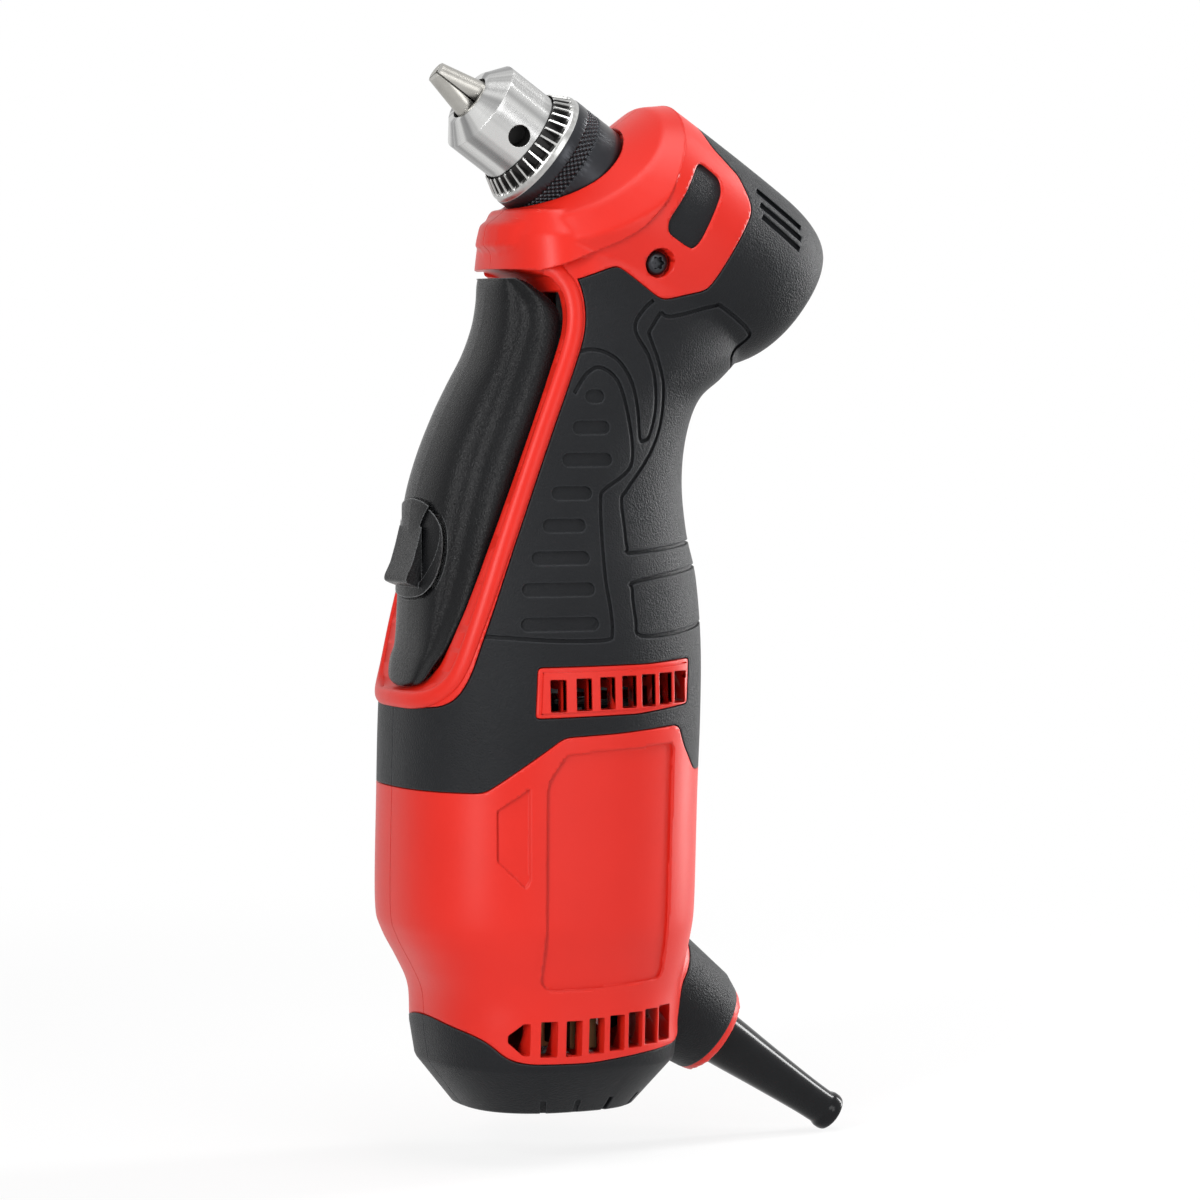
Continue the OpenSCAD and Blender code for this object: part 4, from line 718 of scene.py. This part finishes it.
def settle(piece, body, material, slot, *nodes):
    """Gives a finished piece its material, its body and the nodes it stands for."""
    piece.data.materials.clear()
    piece.data.materials.append(material)
    smoothed(piece)
    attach(piece, body)
    if nodes:
        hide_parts(*nodes)


red = Finish("red_plastic")
where = red.place()
grain = red.noise(where, 1500, 3, 0.6)
drift = red.noise(where, 45, 2)
edge = red.edge(0.0004)
red_plastic = red.surface(
    base_color=red.mix(drift, (0.56, 0.013, 0.006, 1), (0.63, 0.017, 0.008, 1)),
    roughness=grain * 0.12 + 0.33, normal=red.bump(grain, 0.12, 0.0002, edge), specular_ior_level=0.28,
)
screw_places = [(-0.27, 0.088), (0.28, 0.088), (-0.385, 0.347), (0.4, 0.347), (0.33, 0.567)]
red_right = mirrored(red_left, "red_right")
plug_outline = grown(soften(arrow, 0.0004, 3), 0.0003)
plug = cut(prism("plug", plug_outline, 0.004, 0.08), shell, "INTERSECT", keep=True)
cut(red_right, cut(plug, cavity, keep=True), "UNION")


def screw_wells(places):
    """Wells of the screws that close the shell, on the right half."""
    return joined([round_hole("screw_well", x, z, 0.0037, 0.008, 0.08) for x, z in side(places)])


cut(red_right, screw_wells(screw_places))
settle(red_left, "housing", red_plastic, "housing_red", "housing_left")
settle(red_right, "housing", red_plastic, "housing_red", "housing_right")
vent_frame.name = "vent_frame_left"
far_frame = mirrored(vent_frame, "vent_frame_right")
settle(vent_frame, "housing", red_plastic, "housing_red")
settle(far_frame, "housing", red_plastic, "housing_red")


# Soft grip. Black thermoplastic rubber moulded over the red shell on each half, with finger recesses,
# fine lines that frame them and short slots on the end of the head.
def groove(line, width):
    """Outline of a groove along a line of side view points."""
    path = [Vector(p) for p in side(line)]
    edges = [[], []]
    for i, point in enumerate(path):
        run = (path[min(i + 1, len(path) - 1)] - path[max(i - 1, 0)]).normalized()
        for k, way in enumerate((1, -1)):
            edges[k].append(tuple(point + way * width / 2 * Vector((-run.y, run.x))))
    return edges[0] + edges[1][::-1]


# Front end, rear end and height of each recess as shares
finger_recesses = [
    (0.004, 0.066, 0.71), (-0.04, 0.082, 0.68), (-0.077, 0.087, 0.649), (-0.116, 0.015, 0.617),
    (-0.15, -0.012, 0.586), (-0.19, -0.006, 0.555), (-0.224, 0.004, 0.525), (-0.232, 0.012, 0.492),
]
grip_lines = [
    [
        (-0.42, 0.483), (-0.27, 0.4795), (-0.115, 0.476), (0.033, 0.476), (0.055, 0.483), (0.053, 0.505),
        (0.041, 0.534), (0.039, 0.572), (0.042, 0.61), (0.056, 0.62), (0.126, 0.634), (0.156, 0.646),
        (0.158, 0.668), (0.138, 0.701), (0.109, 0.726), (0.056, 0.738), (0.01, 0.731), (-0.03, 0.713),
    ], [
        (-0.05, 0.748), (0.02, 0.755), (0.072, 0.753), (0.121, 0.743), (0.159, 0.723), (0.179, 0.697),
        (0.187, 0.669), (0.204, 0.667), (0.223, 0.672), (0.243, 0.696), (0.238, 0.7255), (0.216, 0.75),
        (0.181, 0.769), (0.18, 0.782), (0.212, 0.795), (0.243, 0.803),
    ], [
        (0.266, 0.7915), (0.226, 0.774), (0.224, 0.768), (0.249, 0.745), (0.27, 0.716), (0.264, 0.682),
        (0.222, 0.653), (0.134, 0.6195), (0.114, 0.61), (0.119, 0.581),
        (0.124, 0.564), (0.152, 0.559), (0.5, 0.57),
    ], [
        (0.5, 0.546), (0.158, 0.532), (0.131, 0.523), (0.138, 0.494), (0.153, 0.479), (0.3, 0.481),
        (0.5, 0.491),
    ], [
        (0.266, 0.7915), (0.302, 0.787), (0.452, 0.7975), (0.474, 0.7975), (0.584, 0.774), (0.589, 0.764),
        (0.541, 0.747), (0.6, 0.725),
    ],
]
head_slots = [
    [(0.617, 0.885), (0.75, 0.853)], [(0.618, 0.897), (0.765, 0.863)], [(0.62, 0.911), (0.775, 0.874)],
]
grip_left = cut(copy_of(left_form, "grip_left"), zone("grip", -0.00025), "INTERSECT")
cut(grip_left, core, keep=True)
sunk_cuts = []
recess_r = 0.0019
half_turn = [math.pi * i / 10 for i in range(11)]
for low, high, level in finger_recesses:
    x0, x1, z = low * body_depth + recess_r, high * body_depth - recess_r, level * tool_h - foot_lift
    ends = [(x1 + recess_r * math.sin(t), z + recess_r * math.cos(t)) for t in half_turn]
    ends += [(x0 - recess_r * math.sin(t), z - recess_r * math.cos(t)) for t in half_turn]
    sunk_cuts.append(prism("recess", ends, beside, past_middle))
cut(grip_left, cut(joined(sunk_cuts), sunk, keep=True))
for line in grip_lines:
    path = groove(curve_through(line), 0.0011)
    cut(grip_left, cut(prism("line", path, beside, past_middle), sunk, keep=True))
slot_cuts = joined([prism("slot", groove(line, 0.0017), beside, past_middle) for line in head_slots])
cut(grip_left, cut(slot_cuts, sunk, keep=True))
rear_ribs = []
for k in range(6):
    turn = math.radians(-21 - 9 * k)
    line = [(0.055 + r * math.cos(turn), 0.236 + r * math.sin(turn)) for r in (0.02, 0.04)]
    shares = [(x / body_depth, (z + foot_lift) / tool_h) for x, z in line]
    rear_ribs.append(prism("rib", groove(shares, 0.0013), -0.013, past_middle))
cut(grip_left, cut(joined(rear_ribs), sunk, keep=True))
cut(grip_left, chuck_way())
black = Finish("soft_black")
where = black.place()
grain = black.noise(where, 1900, 3, 0.6)
drift = black.noise(where, 60, 2)
edge = black.edge(0.0008)
tone = black.mix(drift, (0.0058, 0.0064, 0.0076, 1), (0.0088, 0.0096, 0.0112, 1))
# Outer edges of the grip, its grooves and recesses are lightened to a grey: painted highlight. The rest of
# the colour is a random tone.
soft_black = black.surface(
    base_color=black.mix(black.painted_edge_highlight(edge) * 0.7, tone, (0.05, 0.053, 0.058, 1)),
    roughness=grain * 0.22 + 0.32, normal=black.bump(grain, 0.7, 0.0004, edge), specular_ior_level=0.15,
)
grip_right = mirrored(grip_left, "grip_right")
cut(grip_right, screw_wells(screw_places))
settle(grip_left, "housing", soft_black, "soft_black", "grip_overmould_left")
settle(grip_right, "housing", soft_black, "soft_black", "grip_overmould_right")

# End cap and head inlays. The same black rubber covers the lower end, the boss of the cord and a small
# window on each side of the head.
cap_rows = [
    (0.012, 0.51, 0.53, 0.59), (0.0135, 0.528, 0.55, 0.61), (0.057, 0.74, 0.794, 0.84),
    (0.0605, 0.75, 0.803, 0.85), (0.092, 0.78, 0.822, 0.887), (0.128, 0.792, 0.832, 0.9),
    (0.156, 0.869, 0.872, 0.938), (0.2, 0.97, 0.91, 0.99),
]
cap = loft("cap", [body_ring(row, 0, 96) for row in cap_rows])
cut(cap, cord_boss(0), "UNION")
cut(cap, left_half(), "INTERSECT")
end_left = cut(cap, zone("end", -0.00025), "INTERSECT")
end_left.name = "end_left"
cut(end_left, core, keep=True)
cut(end_left, boot_way())
notch = [(0.0223, -0.004), (0.0227, 0), (0.0254, 0.0035), (0.0263, 0.004), (0.034, 0.004), (0.034, -0.004)]
cap_notches = []
for i in range(5):
    turned = Matrix.Rotation(math.radians(-112 + 22 * i), 4, "Z")
    cap_notches.append(prism("notch", notch, -0.0008, 0.0008, turned))
cut(end_left, joined(cap_notches))
end_right = mirrored(end_left, "end_right")
cut(end_right, screw_wells(screw_places[:2]))
settle(end_left, "housing", soft_black, "soft_black", "end_overmould_left")
settle(end_right, "housing", soft_black, "soft_black", "end_overmould_right")
pad_left = cut(copy_of(left_form, "pad_left"), zone("pad", 0), "INTERSECT")
cut(pad_left, sunk, "INTERSECT", keep=True)
cut(pad_left, core, keep=True)
pad_right = mirrored(pad_left, "pad_right")
settle(pad_left, "housing", soft_black, "soft_black", "head_pad_left")
settle(pad_right, "housing", soft_black, "soft_black", "head_pad_right")


# Red trim. A half round bead of the red plastic frames the paddle: it comes down from under the collar,
# turns round the lower corner and crosses the front to meet the bead of the other half.
def bead(name, path, width, height, skirt):
    """Half round bead along surface points with normals, on a skirt that goes down into the shell."""
    rings = []
    for i, (point, normal) in enumerate(path):
        run = (path[min(i + 1, len(path) - 1)][0] - path[max(i - 1, 0)][0]).normalized()
        across = run.cross(normal).normalized()
        up = across.cross(run).normalized()
        turns = [math.pi * k / 14 for k in range(15)]
        ring = [point + across * (width / 2 * math.cos(t)) + up * (height * math.sin(t)) for t in turns]
        foot = point - up * skirt
        rings.append(ring + [foot - across * (width / 2), foot + across * (width / 2)])
    return loft(name, rings)


def evened(points, step):
    """Points of a line set at even distances."""
    out = [Vector(points[0])]
    for b in points[1:]:
        while (Vector(b) - out[-1]).length > step:
            out.append(out[-1] + (Vector(b) - out[-1]).normalized() * step)
    return out


def averaged(path, reach):
    """Surface path with its small unevenness taken out."""
    out = []
    for i in range(len(path)):
        weight = min(i, len(path) - 1 - i, reach)
        near = path[i - weight:i + weight + 1]
        spot = sum((p for p, n in near), Vector()) / len(near)
        normal = sum((n for p, n in path[max(0, i - reach):i + reach + 1]), Vector()).normalized()
        out.append((spot, normal))
    return out


rim = grown(opening, 0.0015)
rim = [p for p in rim if p[0] > -0.0405 and not (p[1] > 0.8 * tool_h - foot_lift and p[0] < -0.0095)]
rim_path = []
for x, z in evened(rim, 0.001):
    hit, spot, normal, _ = shell.ray_cast((x, -0.2, z), (0, 1, 0))
    if hit:
        rim_path.append((spot.copy(), normal.copy()))
corner = rim_path[0][0]
front_path = []
for k in range(24):
    turn = math.atan2(corner.y, corner.x + 0.02) * (1 - k / 23) - math.pi * k / 23
    level = corner.z + (0.424 * tool_h - foot_lift - 0.0022 - corner.z) * min(1, k / 8)
    out = Vector((math.cos(turn), math.sin(turn), 0))
    hit, spot, normal, _ = shell.ray_cast(Vector((-0.02, 0, level)) + 0.2 * out, -out)
    if hit:
        front_path.append((spot.copy(), normal.copy()))
trim_left = bead("trim_left", averaged(front_path[:0:-1] + rim_path, 5), 0.0046, 0.0013, 0.0042)
trim_right = mirrored(trim_left, "trim_right")
settle(trim_left, "housing", red_plastic, "housing_red")
settle(trim_right, "housing", red_plastic, "housing_red")
for tool in (shell, left_form, core, cavity, sunk):
    bpy.data.objects.remove(tool)

# Paddle switch. One long black moulding hinged at its lower end, with a ridge and a hollow flute along
# each flank, a pocket for the selector and a coarser grain than the grip.
paddle_rows = [
    (0.4285, 0.94, 0.9, 0.12), (0.434, 0.942, 0.885, 0.3), (0.452, 0.92, 0.835, 0.4),
    (0.472, 0.89, 0.75, 0.46), (0.52, 0.878, 0.6, 0.54), (0.57, 0.858, 0.5, 0.595),
    (0.61, 0.832, 0.41, 0.61), (0.65, 0.76, 0.325, 0.605), (0.69, 0.655, 0.225, 0.595),
    (0.72, 0.56, 0.155, 0.57), (0.748, 0.463, 0.1, 0.54), (0.775, 0.402, 0.05, 0.505),
    (0.797, 0.375, 0.07, 0.47), (0.817, 0.36, 0.2, 0.4), (0.8245, 0.345, 0.28, 0.34),
]
# Half section from the flank's rear edge to the middle of the front: way forward and way out as shares
paddle_section = smooth_rows([
    (0, 0.985), (0.12, 1), (0.24, 1), (0.34, 0.965), (0.43, 0.885), (0.51, 0.79), (0.6, 0.73), (0.69, 0.7),
    (0.78, 0.655), (0.855, 0.58), (0.915, 0.475), (0.958, 0.34), (0.986, 0.18), (1, 0),
], 4)


def paddle_ring(row, ahead=0.0):
    front, back = -row[1] * body_depth / 2 - ahead, -row[2] * body_depth / 2
    half = [(back + (front - back) * f, -row[3] * body_width / 2 * out) for f, out in paddle_section]
    whole = half + [(x, -y) for x, y in half[-2::-1]]
    return [Vector((x, y, row[0] * tool_h - foot_lift)) for x, y in whole]


pocket = soften(side([
    (-0.7, 0.63), (-0.44, 0.626), (-0.405, 0.608), (-0.382, 0.585), (-0.382, 0.557), (-0.4, 0.532),
    (-0.438, 0.509), (-0.7, 0.5),
]), 0.003)
paddle = loft("paddle_switch", [paddle_ring(row) for row in smooth_rows(paddle_rows, 8)])
cut(paddle, prism("pocket", pocket, -0.06, 0.06))
grained = Finish("grained_black")
where = grained.place()
grain = grained.noise(where, 2100, 2, 0.6)
drift = grained.noise(where, 50, 2)
edge = grained.edge(0.0004)
tone = grained.mix(drift, (0.0035, 0.0037, 0.0042, 1), (0.006, 0.0062, 0.007, 1))
# Outer edges of the paddle and the selector, round the pocket and the dishes, are lightened to a grey:
# painted highlight.
grained_black = grained.surface(
    base_color=grained.mix(grained.painted_edge_highlight(edge) * 0.9, tone, (0.2, 0.205, 0.21, 1)),
    roughness=grain * 0.16 + 0.2, normal=grained.bump(grain, 0.45, 0.0005, edge), specular_ior_level=0.14,
)
settle(paddle, "paddle", grained_black, "black_plastic", "paddle")

# Direction selector. A thumb piece that slides across the paddle: a lens shaped dish on each shoulder,
# with only a painted highlight along its edge, and a fin along its lower front edge.
selector = loft("selector", [paddle_ring(row, 0.0009) for row in smooth_rows(paddle_rows[3:8], 12)])
selector.data.transform(Matrix.Scale(0.97, 4, (0, 1, 0)))
cut(selector, prism("seat", grown(pocket, -0.0011), -0.06, 0.06), "INTERSECT")
fin = prism("fin", soften(side([
    (-0.43, 0.585), (-0.446, 0.565), (-0.462, 0.548), (-0.482, 0.535), (-0.483, 0.53),
    (-0.46, 0.5265), (-0.43, 0.5235),
]), 0.0008), -0.0078, 0.0078)
lens_floor = loft("lens_floor", [paddle_ring(row, 0.0001) for row in smooth_rows(paddle_rows[2:9], 12)])
shoulder = Matrix(((0.70711, -0.70711, 0, 0), (-0.70711, -0.70711, 0, 0), (0, 0, 1, 0), (0, 0, 0, 1)))
lens_top, lens_foot = Vector((-0.0174, 0.1694)), Vector((-0.0228, 0.1455))
lens_out = (lens_foot - lens_top).orthogonal().normalized()
lens = []
for sag, steps in ((0.0044, range(20)), (-0.0038, range(20, 0, -1))):
    for k in steps:
        bow = sag * 4 * k / 20 * (1 - k / 20)
        lens.append(tuple(lens_top.lerp(lens_foot, k / 20) + lens_out * bow))
dish = cut(prism("dish", lens, 0.02, 0.06, shoulder), lens_floor)
cut(selector, mirrored(dish, "far_dish"))
cut(selector, dish)
cut(selector, fin, "UNION")
settle(selector, "selector", grained_black, "black_plastic", "reverse_selector")

# Chuck sleeve. Turned steel ring that closes the jaws: black oxide with a diamond knurled band, and a bevel
# ring of bright teeth at its front for the key.
def lathe(name, profile, sides, frame, shape=None):
    """Turned piece from a closed loop of (station, radius); shape may change a radius by its angle."""
    rings = []
    for s, r in profile:
        turns = full_turn(sides)
        radii = [shape(s, r, t) if shape else r for t in turns]
        rings.append([frame @ Vector((q * math.cos(t), q * math.sin(t), s)) for q, t in zip(radii, turns)])
    points = [p for ring in rings for p in ring]
    n, m = sides, len(rings)
    faces = [
        (k * n + i, k * n + (i + 1) % n, (k + 1) % m * n + (i + 1) % n, (k + 1) % m * n + i)
        for k in range(m) for i in range(n)
    ]
    return outward(add_mesh(name, points, faces))


ring_teeth = 34
sleeve_r = 0.0176
teeth_low, teeth_high = 0.0029, 0.0074
knurl_low, knurl_high, knurl_deep = -0.0068, -0.0022, 0.00042
knurl_count, knurl_pitch = 64, 0.0016


def tooth_gap(angle):
    """0 on a tooth's flat top, 1 on the floor of the gap beside it."""
    at = abs((angle * ring_teeth / (2 * math.pi)) % 1 - 0.5) * 2
    return min(1, max(0, (at - 0.2) / 0.3))


def sleeve_shape(s, r, angle):
    if r > 0.0143 and teeth_low < s < teeth_high:
        deep = 0.0024 * min(1, (s - teeth_low) / 0.0006)
        return max(0.01425, r - deep * tooth_gap(angle))
    if r > 0.0172 and knurl_low < s < knurl_high:
        a = (angle * knurl_count / (2 * math.pi) + s / knurl_pitch) % 1
        b = (angle * knurl_count / (2 * math.pi) - s / knurl_pitch) % 1
        fade = min(1, (s - knurl_low) / 0.0003, (knurl_high - s) / 0.0003)
        return r - knurl_deep * fade * ((2 * a - 1) ** 2 + (2 * b - 1) ** 2)
    return r


sleeve_profile = [(-0.0151, 0.0165), (-0.0151, 0.0169), (-0.0148, 0.0173), (-0.0143, sleeve_r)]
sleeve_profile += [(-0.0143 + (knurl_low + 0.0143) * k / 4, sleeve_r) for k in range(1, 5)]
sleeve_profile += [(knurl_low + (knurl_high - knurl_low) * k / 36, sleeve_r) for k in range(1, 37)]
sleeve_profile += [(0.0006, sleeve_r), (0.0009, 0.01745), (0.0012, 0.0174), (0.0022, 0.0174)]
sleeve_profile += [(0.0026, 0.01725)]
sleeve_profile += [(teeth_low + 0.0044 * k / 14, 0.01705 - 0.0024 * k / 14) for k in range(15)]
sleeve_profile += [(teeth_high, 0.0142), (0.0020, 0.0142), (0.0018, 0.0165)]
sleeve = lathe("chuck_sleeve_turned", sleeve_profile, 32 * ring_teeth, head_frame, sleeve_shape)
oxide = Finish("black_oxide")
where = oxide.place()
drift = oxide.noise(where, 160, 3)
edge = oxide.edge(0.0002)
black_oxide = oxide.surface(
    base_color=oxide.mix(drift, (0.018, 0.019, 0.022, 1), (0.034, 0.036, 0.041, 1)), metallic=0.75,
    roughness=oxide.noise(where, 420, 2) * 0.12 + 0.26, normal=edge,
)
tooth = Finish("tooth_steel")
where = tooth.place()
drift = tooth.noise(where, 900, 3)
bright_teeth = tooth.surface(
    base_color=tooth.mix(drift, (0.3, 0.3, 0.29, 1), (0.55, 0.55, 0.54, 1)), metallic=1.0,
    roughness=drift * 0.15 + 0.24, normal=tooth.bump(drift, 0.15, 0.0002),
)
# Near-black finish for the floors of the tooth gaps and the walls of the key holes: painted shade in these
# hollows, with a random mottle.
floor_tone = Finish("painted_gap_shade")
where = floor_tone.place()
gap_shade_mottle = floor_tone.noise(where, 700, 3)
painted_gap_shade = floor_tone.surface(
    base_color=floor_tone.mix(gap_shade_mottle, (0.006, 0.006, 0.006, 1), (0.02, 0.019, 0.018, 1)), metallic=0.5,
    roughness=gap_shade_mottle * 0.2 + 0.45,
)
settle(sleeve, "sleeve", black_oxide, "black_steel", "chuck_sleeve")
sleeve.data.materials.append(bright_teeth)
sleeve.data.materials.append(painted_gap_shade)
# Tooth faces get the bright steel; the floors of the gaps between them get the near-black finish, which is
# painted shade.
into_chuck = head_frame.inverted()
for face in sleeve.data.polygons:
    at = into_chuck @ face.center
    if at.z > 0.00085 and at.xy.length > 0.0141:
        deep = at.z > 0.0031 and tooth_gap(math.atan2(at.y, at.x) % (2 * math.pi)) > 0.25
        face.material_index = 2 if deep else 1

# Chuck nose. Ground steel body with a short cone, three shallow flats, three key holes and the mouth that
# the jaws come out of.
flat_turns = [math.radians(75 + 120 * i) for i in range(3)]


def nose_shape(s, r, angle):
    if r > 0.0136 and 0.0085 < s < 0.0216:
        for turn in flat_turns:
            away = (angle - turn + math.pi) % (2 * math.pi) - math.pi
            if abs(away) < math.radians(60):
                r = min(r, 0.01322 / math.cos(away))
    return r


nose_r = 0.0137
nose_profile = [(0.0062, 0.0070), (0.0062, nose_r)]
nose_profile += [(0.0062 + 0.0152 * k / 12, nose_r) for k in range(1, 13)]
nose_profile += [(0.02168, 0.01366), (0.0219, 0.0134)]
nose_profile += [(0.0219 + 0.0036 * k / 6, 0.0134 - 0.0044 * k / 6) for k in range(1, 7)]
nose_profile += [(0.0258, 0.00865), (0.0259, 0.0084), (0.0259, 0.0070), (0.0257, 0.0066), (0.0180, 0.0066)]
nose = lathe("chuck_nose", nose_profile, 180, head_frame, nose_shape)
for i in range(3):
    turn = math.radians(15 + 120 * i)
    way = head_frame @ Matrix.Translation((0, 0, 0.01194)) @ Matrix.Rotation(turn, 4, "Z")
    way = way @ Matrix.Rotation(math.pi / 2, 4, "Y")
    cut(nose, rod("key_hole", way, 0.0077, 0.02, 0.0031, 48))
ground = Finish("ground_steel")
where = ground.place()
around = ground.node("ShaderNodeMapping", None, {
    "Vector": where, "Location": tuple(-(Matrix.Rotation(head_turn, 3, "Y") @ head_frame.translation)),
    "Rotation": (0, head_turn, 0),
})
parts = ground.node("ShaderNodeSeparateXYZ", None, {0: around})
across = ground.node("ShaderNodeSeparateXYZ", None, {0: around}, output=1)
# Light and dark bands round the chuck's axis, set in the base colour: painted reflection streaks of turned
# steel.
turn = across.math("ARCTAN2", parts)
waves = ground.node("ShaderNodeTexNoise", {"noise_dimensions": "1D"}, {"W": turn, "Scale": 1.7, "Detail": 2})
painted_streaks = waves.between(0.36, 0.62)
stretched = ground.node("ShaderNodeMapping", None, {"Vector": around, "Scale": (60, 60, 5200)})
lines = ground.noise(stretched, 1.0, 3, 0.6)
drift = ground.noise(where, 130, 2)
edge = ground.edge(0.00025)
# The base colour is mostly the painted reflection streaks, with a little random tone.
ground_steel = ground.surface(
    base_color=ground.mix(painted_streaks * 0.85 + drift * 0.15, (0.2, 0.2, 0.2, 1), (0.64, 0.64, 0.63, 1)),
    metallic=1.0, roughness=lines * 0.16 + 0.2, normal=ground.bump(lines, 0.12, 0.00012, edge),
)
settle(nose, "spindle", ground_steel, "polished_steel", "chuck_body")
nose.data.materials.append(painted_gap_shade)
# Walls inside the key holes get the near-black finish: painted shade.
for face in nose.data.polygons:
    at = into_chuck @ face.center
    if 0.0088 < at.z < 0.0151 and 0.0072 < at.xy.length < 0.0129:
        face.material_index = 1

# Jaws. Three hardened steel jaws that slide in slanting bores and close on the drill's shank.
jaw_finish = Finish("jaw_steel")
where = jaw_finish.place()
drift = jaw_finish.noise(where, 240, 3)
edge = jaw_finish.edge(0.00025)
jaw_steel = jaw_finish.surface(
    base_color=jaw_finish.mix(drift, (0.3, 0.29, 0.27, 1), (0.46, 0.45, 0.42, 1)), metallic=1.0,
    roughness=drift * 0.2 + 0.24, normal=jaw_finish.bump(drift, 0.08, 0.0002, edge),
)
for i in (1, 2, 3):
    jaw = frame["nodes"]["jaw_%d" % i]
    jaw.data.materials.clear()
    jaw.data.materials.append(jaw_steel)

# Cord boot. Glossy black rubber sleeve with a hollow taper and a lip at its end, where the cord comes out.
boot_profile = [(-0.0066, 0.0036), (-0.0066, 0.0096), (-0.004, 0.0096), (-0.004, 0.0079), (0, 0.0079)]
boot_curve = [
    (0.0, 0.00795), (0.008, 0.0074), (0.017, 0.00665), (0.027, 0.0059), (0.036, 0.0053), (0.0418, 0.0051),
]
boot_profile += [tuple(p) for p in smooth_rows(boot_curve, 6)][1:]
boot_profile += [(0.0424, 0.00515), (0.043, 0.0054), (0.0437, 0.0056), (0.045, 0.0056)]
boot_profile += [(0.0457, 0.0054), (0.046, 0.005), (0.046, 0.0036)]
boot = lathe("boot", boot_profile, 72, cord_frame)
gloss = Finish("boot_rubber")
where = gloss.place()
drift = gloss.noise(where, 240, 2)
boot_rubber = gloss.surface(
    base_color=gloss.mix(drift, (0.004, 0.0043, 0.005, 1), (0.007, 0.0075, 0.0085, 1)),
    roughness=drift * 0.08 + 0.14, normal=gloss.bump(drift, 0.03, 0.0002), specular_ior_level=0.16,
)
settle(boot, "housing", boot_rubber, "boot_rubber", "cord_boot")

# Screws. One black six lobe screw in a round well on each side of the head, and five more in deep wells on
# the right half that close the shell.
def screw_head(x, z, seat, way, radius, height):
    """Head of one screw, seen along -Y or +Y, with a six lobe recess."""
    turn = Matrix.Translation((x, seat, z)) @ Matrix.Rotation(-way * math.pi / 2, 4, "X")
    head = lathe("screw", [
        (0, 0.0001), (0, radius), (height * 0.55, radius), (height * 0.85, radius * 0.9),
        (height, radius * 0.72), (height, 0.0001),
    ], 48, turn)
    lobes = []
    for t in full_turn(72):
        reach = (0.5 + 0.09 * math.cos(6 * t)) * radius
        lobes.append((reach * math.cos(t), reach * math.sin(t)))
    ends = (height * 0.3, height * 2)
    return cut(head, loft("recess", [[turn @ Vector((a, b, s)) for a, b in lobes] for s in ends]))


case_screws = joined([
    screw_head(case_screw_x, case_screw_z, 0.025 * way, way, 0.0033, 0.0024) for way in (-1, 1)
])
case_screws.name = "case_screws"
shell_screws = joined([screw_head(x, z, 0.008, 1, 0.0034, 0.0028) for x, z in side(screw_places)])
shell_screws.name = "shell_screws"
settle(case_screws, "housing", black_oxide, "black_steel", "gear_case_screws")
settle(shell_screws, "housing", black_oxide, "black_steel", "housing_screws")

# Inside. Motor, gears, bearings and switch, seen a little through the vents: steel, bronze, copper, cast
# alloy and moulded plastic, each with its own random worn tone; the metal finishes made here are set
# darker than the bare metals: painted shade inside the housing.
def inner_finish(name, low, high, metal, rough):
    finish = Finish(name)
    spot = finish.place()
    wear = finish.noise(spot, 300, 3)
    return finish.surface(
        base_color=finish.mix(wear, (*low, 1), (*high, 1)), metallic=metal, roughness=wear * 0.2 + rough,
        normal=finish.bump(finish.noise(spot, 1200, 2), 0.1, 0.0002),
    )


# Bronze, cast alloy, lamination and copper here are darker than the bare metals: painted shade inside the
# housing.
inner_finishes = {
    "black_plastic": inner_finish("inner_black", (0.012, 0.012, 0.013), (0.022, 0.022, 0.024), 0.0, 0.4),
    "fan_plastic": inner_finish("fan_black", (0.02, 0.02, 0.02), (0.035, 0.035, 0.036), 0.0, 0.45),
    "black_steel": black_oxide, "ground_steel": ground_steel, "polished_steel": ground_steel,
    "jaw_steel": jaw_steel,
    "bronze": inner_finish("bronze", (0.06, 0.04, 0.018), (0.12, 0.08, 0.035), 0.9, 0.45),
    "cast_alloy": inner_finish("cast_alloy", (0.12, 0.123, 0.126), (0.2, 0.206, 0.21), 1.0, 0.5),
    "lamination": inner_finish("lamination", (0.03, 0.03, 0.032), (0.07, 0.07, 0.075), 0.9, 0.5),
    "copper": inner_finish("copper", (0.42, 0.17, 0.08), (0.6, 0.28, 0.14), 1.0, 0.32),
    "carbon": inner_finish("carbon", (0.015, 0.015, 0.015), (0.04, 0.04, 0.04), 0.2, 0.5),
}
for part in frame["record"]["subparts"]:
    shown = frame["nodes"][part["node"]]
    if part["material_slot"] in inner_finishes and not part["node"].startswith("jaw_"):
        shown.data.materials.clear()
        shown.data.materials.append(inner_finishes[part["material_slot"]])
